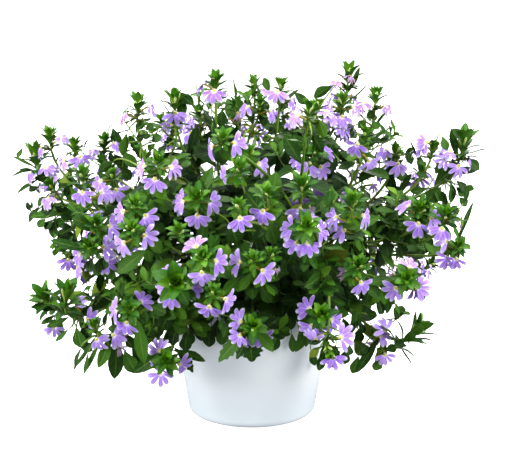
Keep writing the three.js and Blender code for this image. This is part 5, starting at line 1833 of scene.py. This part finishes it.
# In metres: how far out the floor reaches and how far it lies under the pot's foot; the wall's radius,
# its height and the level of its middle.
FLOOR = {"reach": 9.0, "below": 0.0004}
FAR_WALL = {"radius": 8.8, "height": 8, "middle": 3.99}

# The lamps: name, place in metres, width in metres and power in watts. All point at the plant's middle.
LAMPS = [
    ("front_left", (-1.9, -1.1, 1.0), 1.0, 71),
    ("overhead", (0.0, -0.1, 2.3), 1.2, 58),
    ("front_right", (1.9, -1.0, 1.0), 1.0, 60),
    ("behind", (0.4, 1.9, 1.1), 1.2, 32),
]
LAMPS_AIM = (0, 0, 0.17)
ROOM_LIGHT = {"colour": (0.96, 0.98, 1.0, 1), "strength": 0.46}


def set_stage():
    """A white floor with a round white wall far out, and large soft lamps on all sides and above."""
    bpy.ops.mesh.primitive_plane_add(size=2 * FLOOR["reach"], location=(0, 0, -FLOOR["below"]))
    floor = bpy.context.object
    floor.name = "floor"
    bpy.ops.mesh.primitive_cylinder_add(
        vertices=96, radius=FAR_WALL["radius"], depth=FAR_WALL["height"], end_fill_type="NOTHING",
        location=(0, 0, FAR_WALL["middle"]),
    )
    wall = bpy.context.object
    wall.name = "far_wall"
    paint = Paint("floor_white")
    grain = paint.noise(6, 2)
    paint.dress(
        Base_Color=paint.mix(grain, srgb(247, 247, 247), srgb(250, 250, 250)), Roughness=0.95,
        Emission_Color=srgb(255, 255, 255), Emission_Strength=0.8, Specular_IOR_Level=0.1,
    )
    for surround in (floor, wall):
        surround.data.materials.append(paint.material)
        surround.visible_diffuse = False
        surround.visible_glossy = False
    wall.visible_shadow = False

    scene = bpy.context.scene
    world = bpy.data.worlds.new("white room")
    scene.world = world
    world.use_nodes = True
    background = world.node_tree.nodes["Background"]
    background.inputs["Color"].default_value = ROOM_LIGHT["colour"]
    background.inputs["Strength"].default_value = ROOM_LIGHT["strength"]
    scene.view_settings.view_transform = "Standard"

    for name, place, size, power in LAMPS:
        light = bpy.data.lights.new(name, "AREA")
        light.size = size
        light.energy = power
        lamp = bpy.data.objects.new(name, light)
        lamp.location = place
        aim = mathutils.Vector(LAMPS_AIM) - lamp.location
        lamp.rotation_euler = aim.to_track_quat("-Z", "Y").to_euler()
        scene.collection.objects.link(lamp)


def set_camera():
    """The photograph's view: from above the plant's top, looking down 13 degrees, with a long lens."""
    data = bpy.data.cameras.new("view")
    data.sensor_width = 36
    data.lens = 115.8
    data.clip_end = 50
    camera = bpy.data.objects.new("view", data)
    camera.location = (0.00053, -1.4616, 0.5058)
    camera.rotation_euler = (np.pi / 2 - LOOK_DOWN, 0, 0)
    bpy.context.scene.collection.objects.link(camera)
    bpy.context.scene.camera = camera


def main():
    """The camera, the plan of the plant, its pieces, both pots, the soil and the stage."""
    set_camera()
    crowd = Crowd()
    stems = plan_plant(crowd)
    fill_with_leaves(stems, crowd)
    materials = [
        stem_paint(), leaf_paint(), tip_paint(), petal_paint(), eye_paint(), bud_paint(), faded_paint(),
    ]
    for stem in stems:
        grow_stem_piece(stem, materials)
    make_cover_pot(glaze_paint())
    make_nursery_pot(plastic_paint())
    make_soil(soil_paint())
    set_stage()


main()
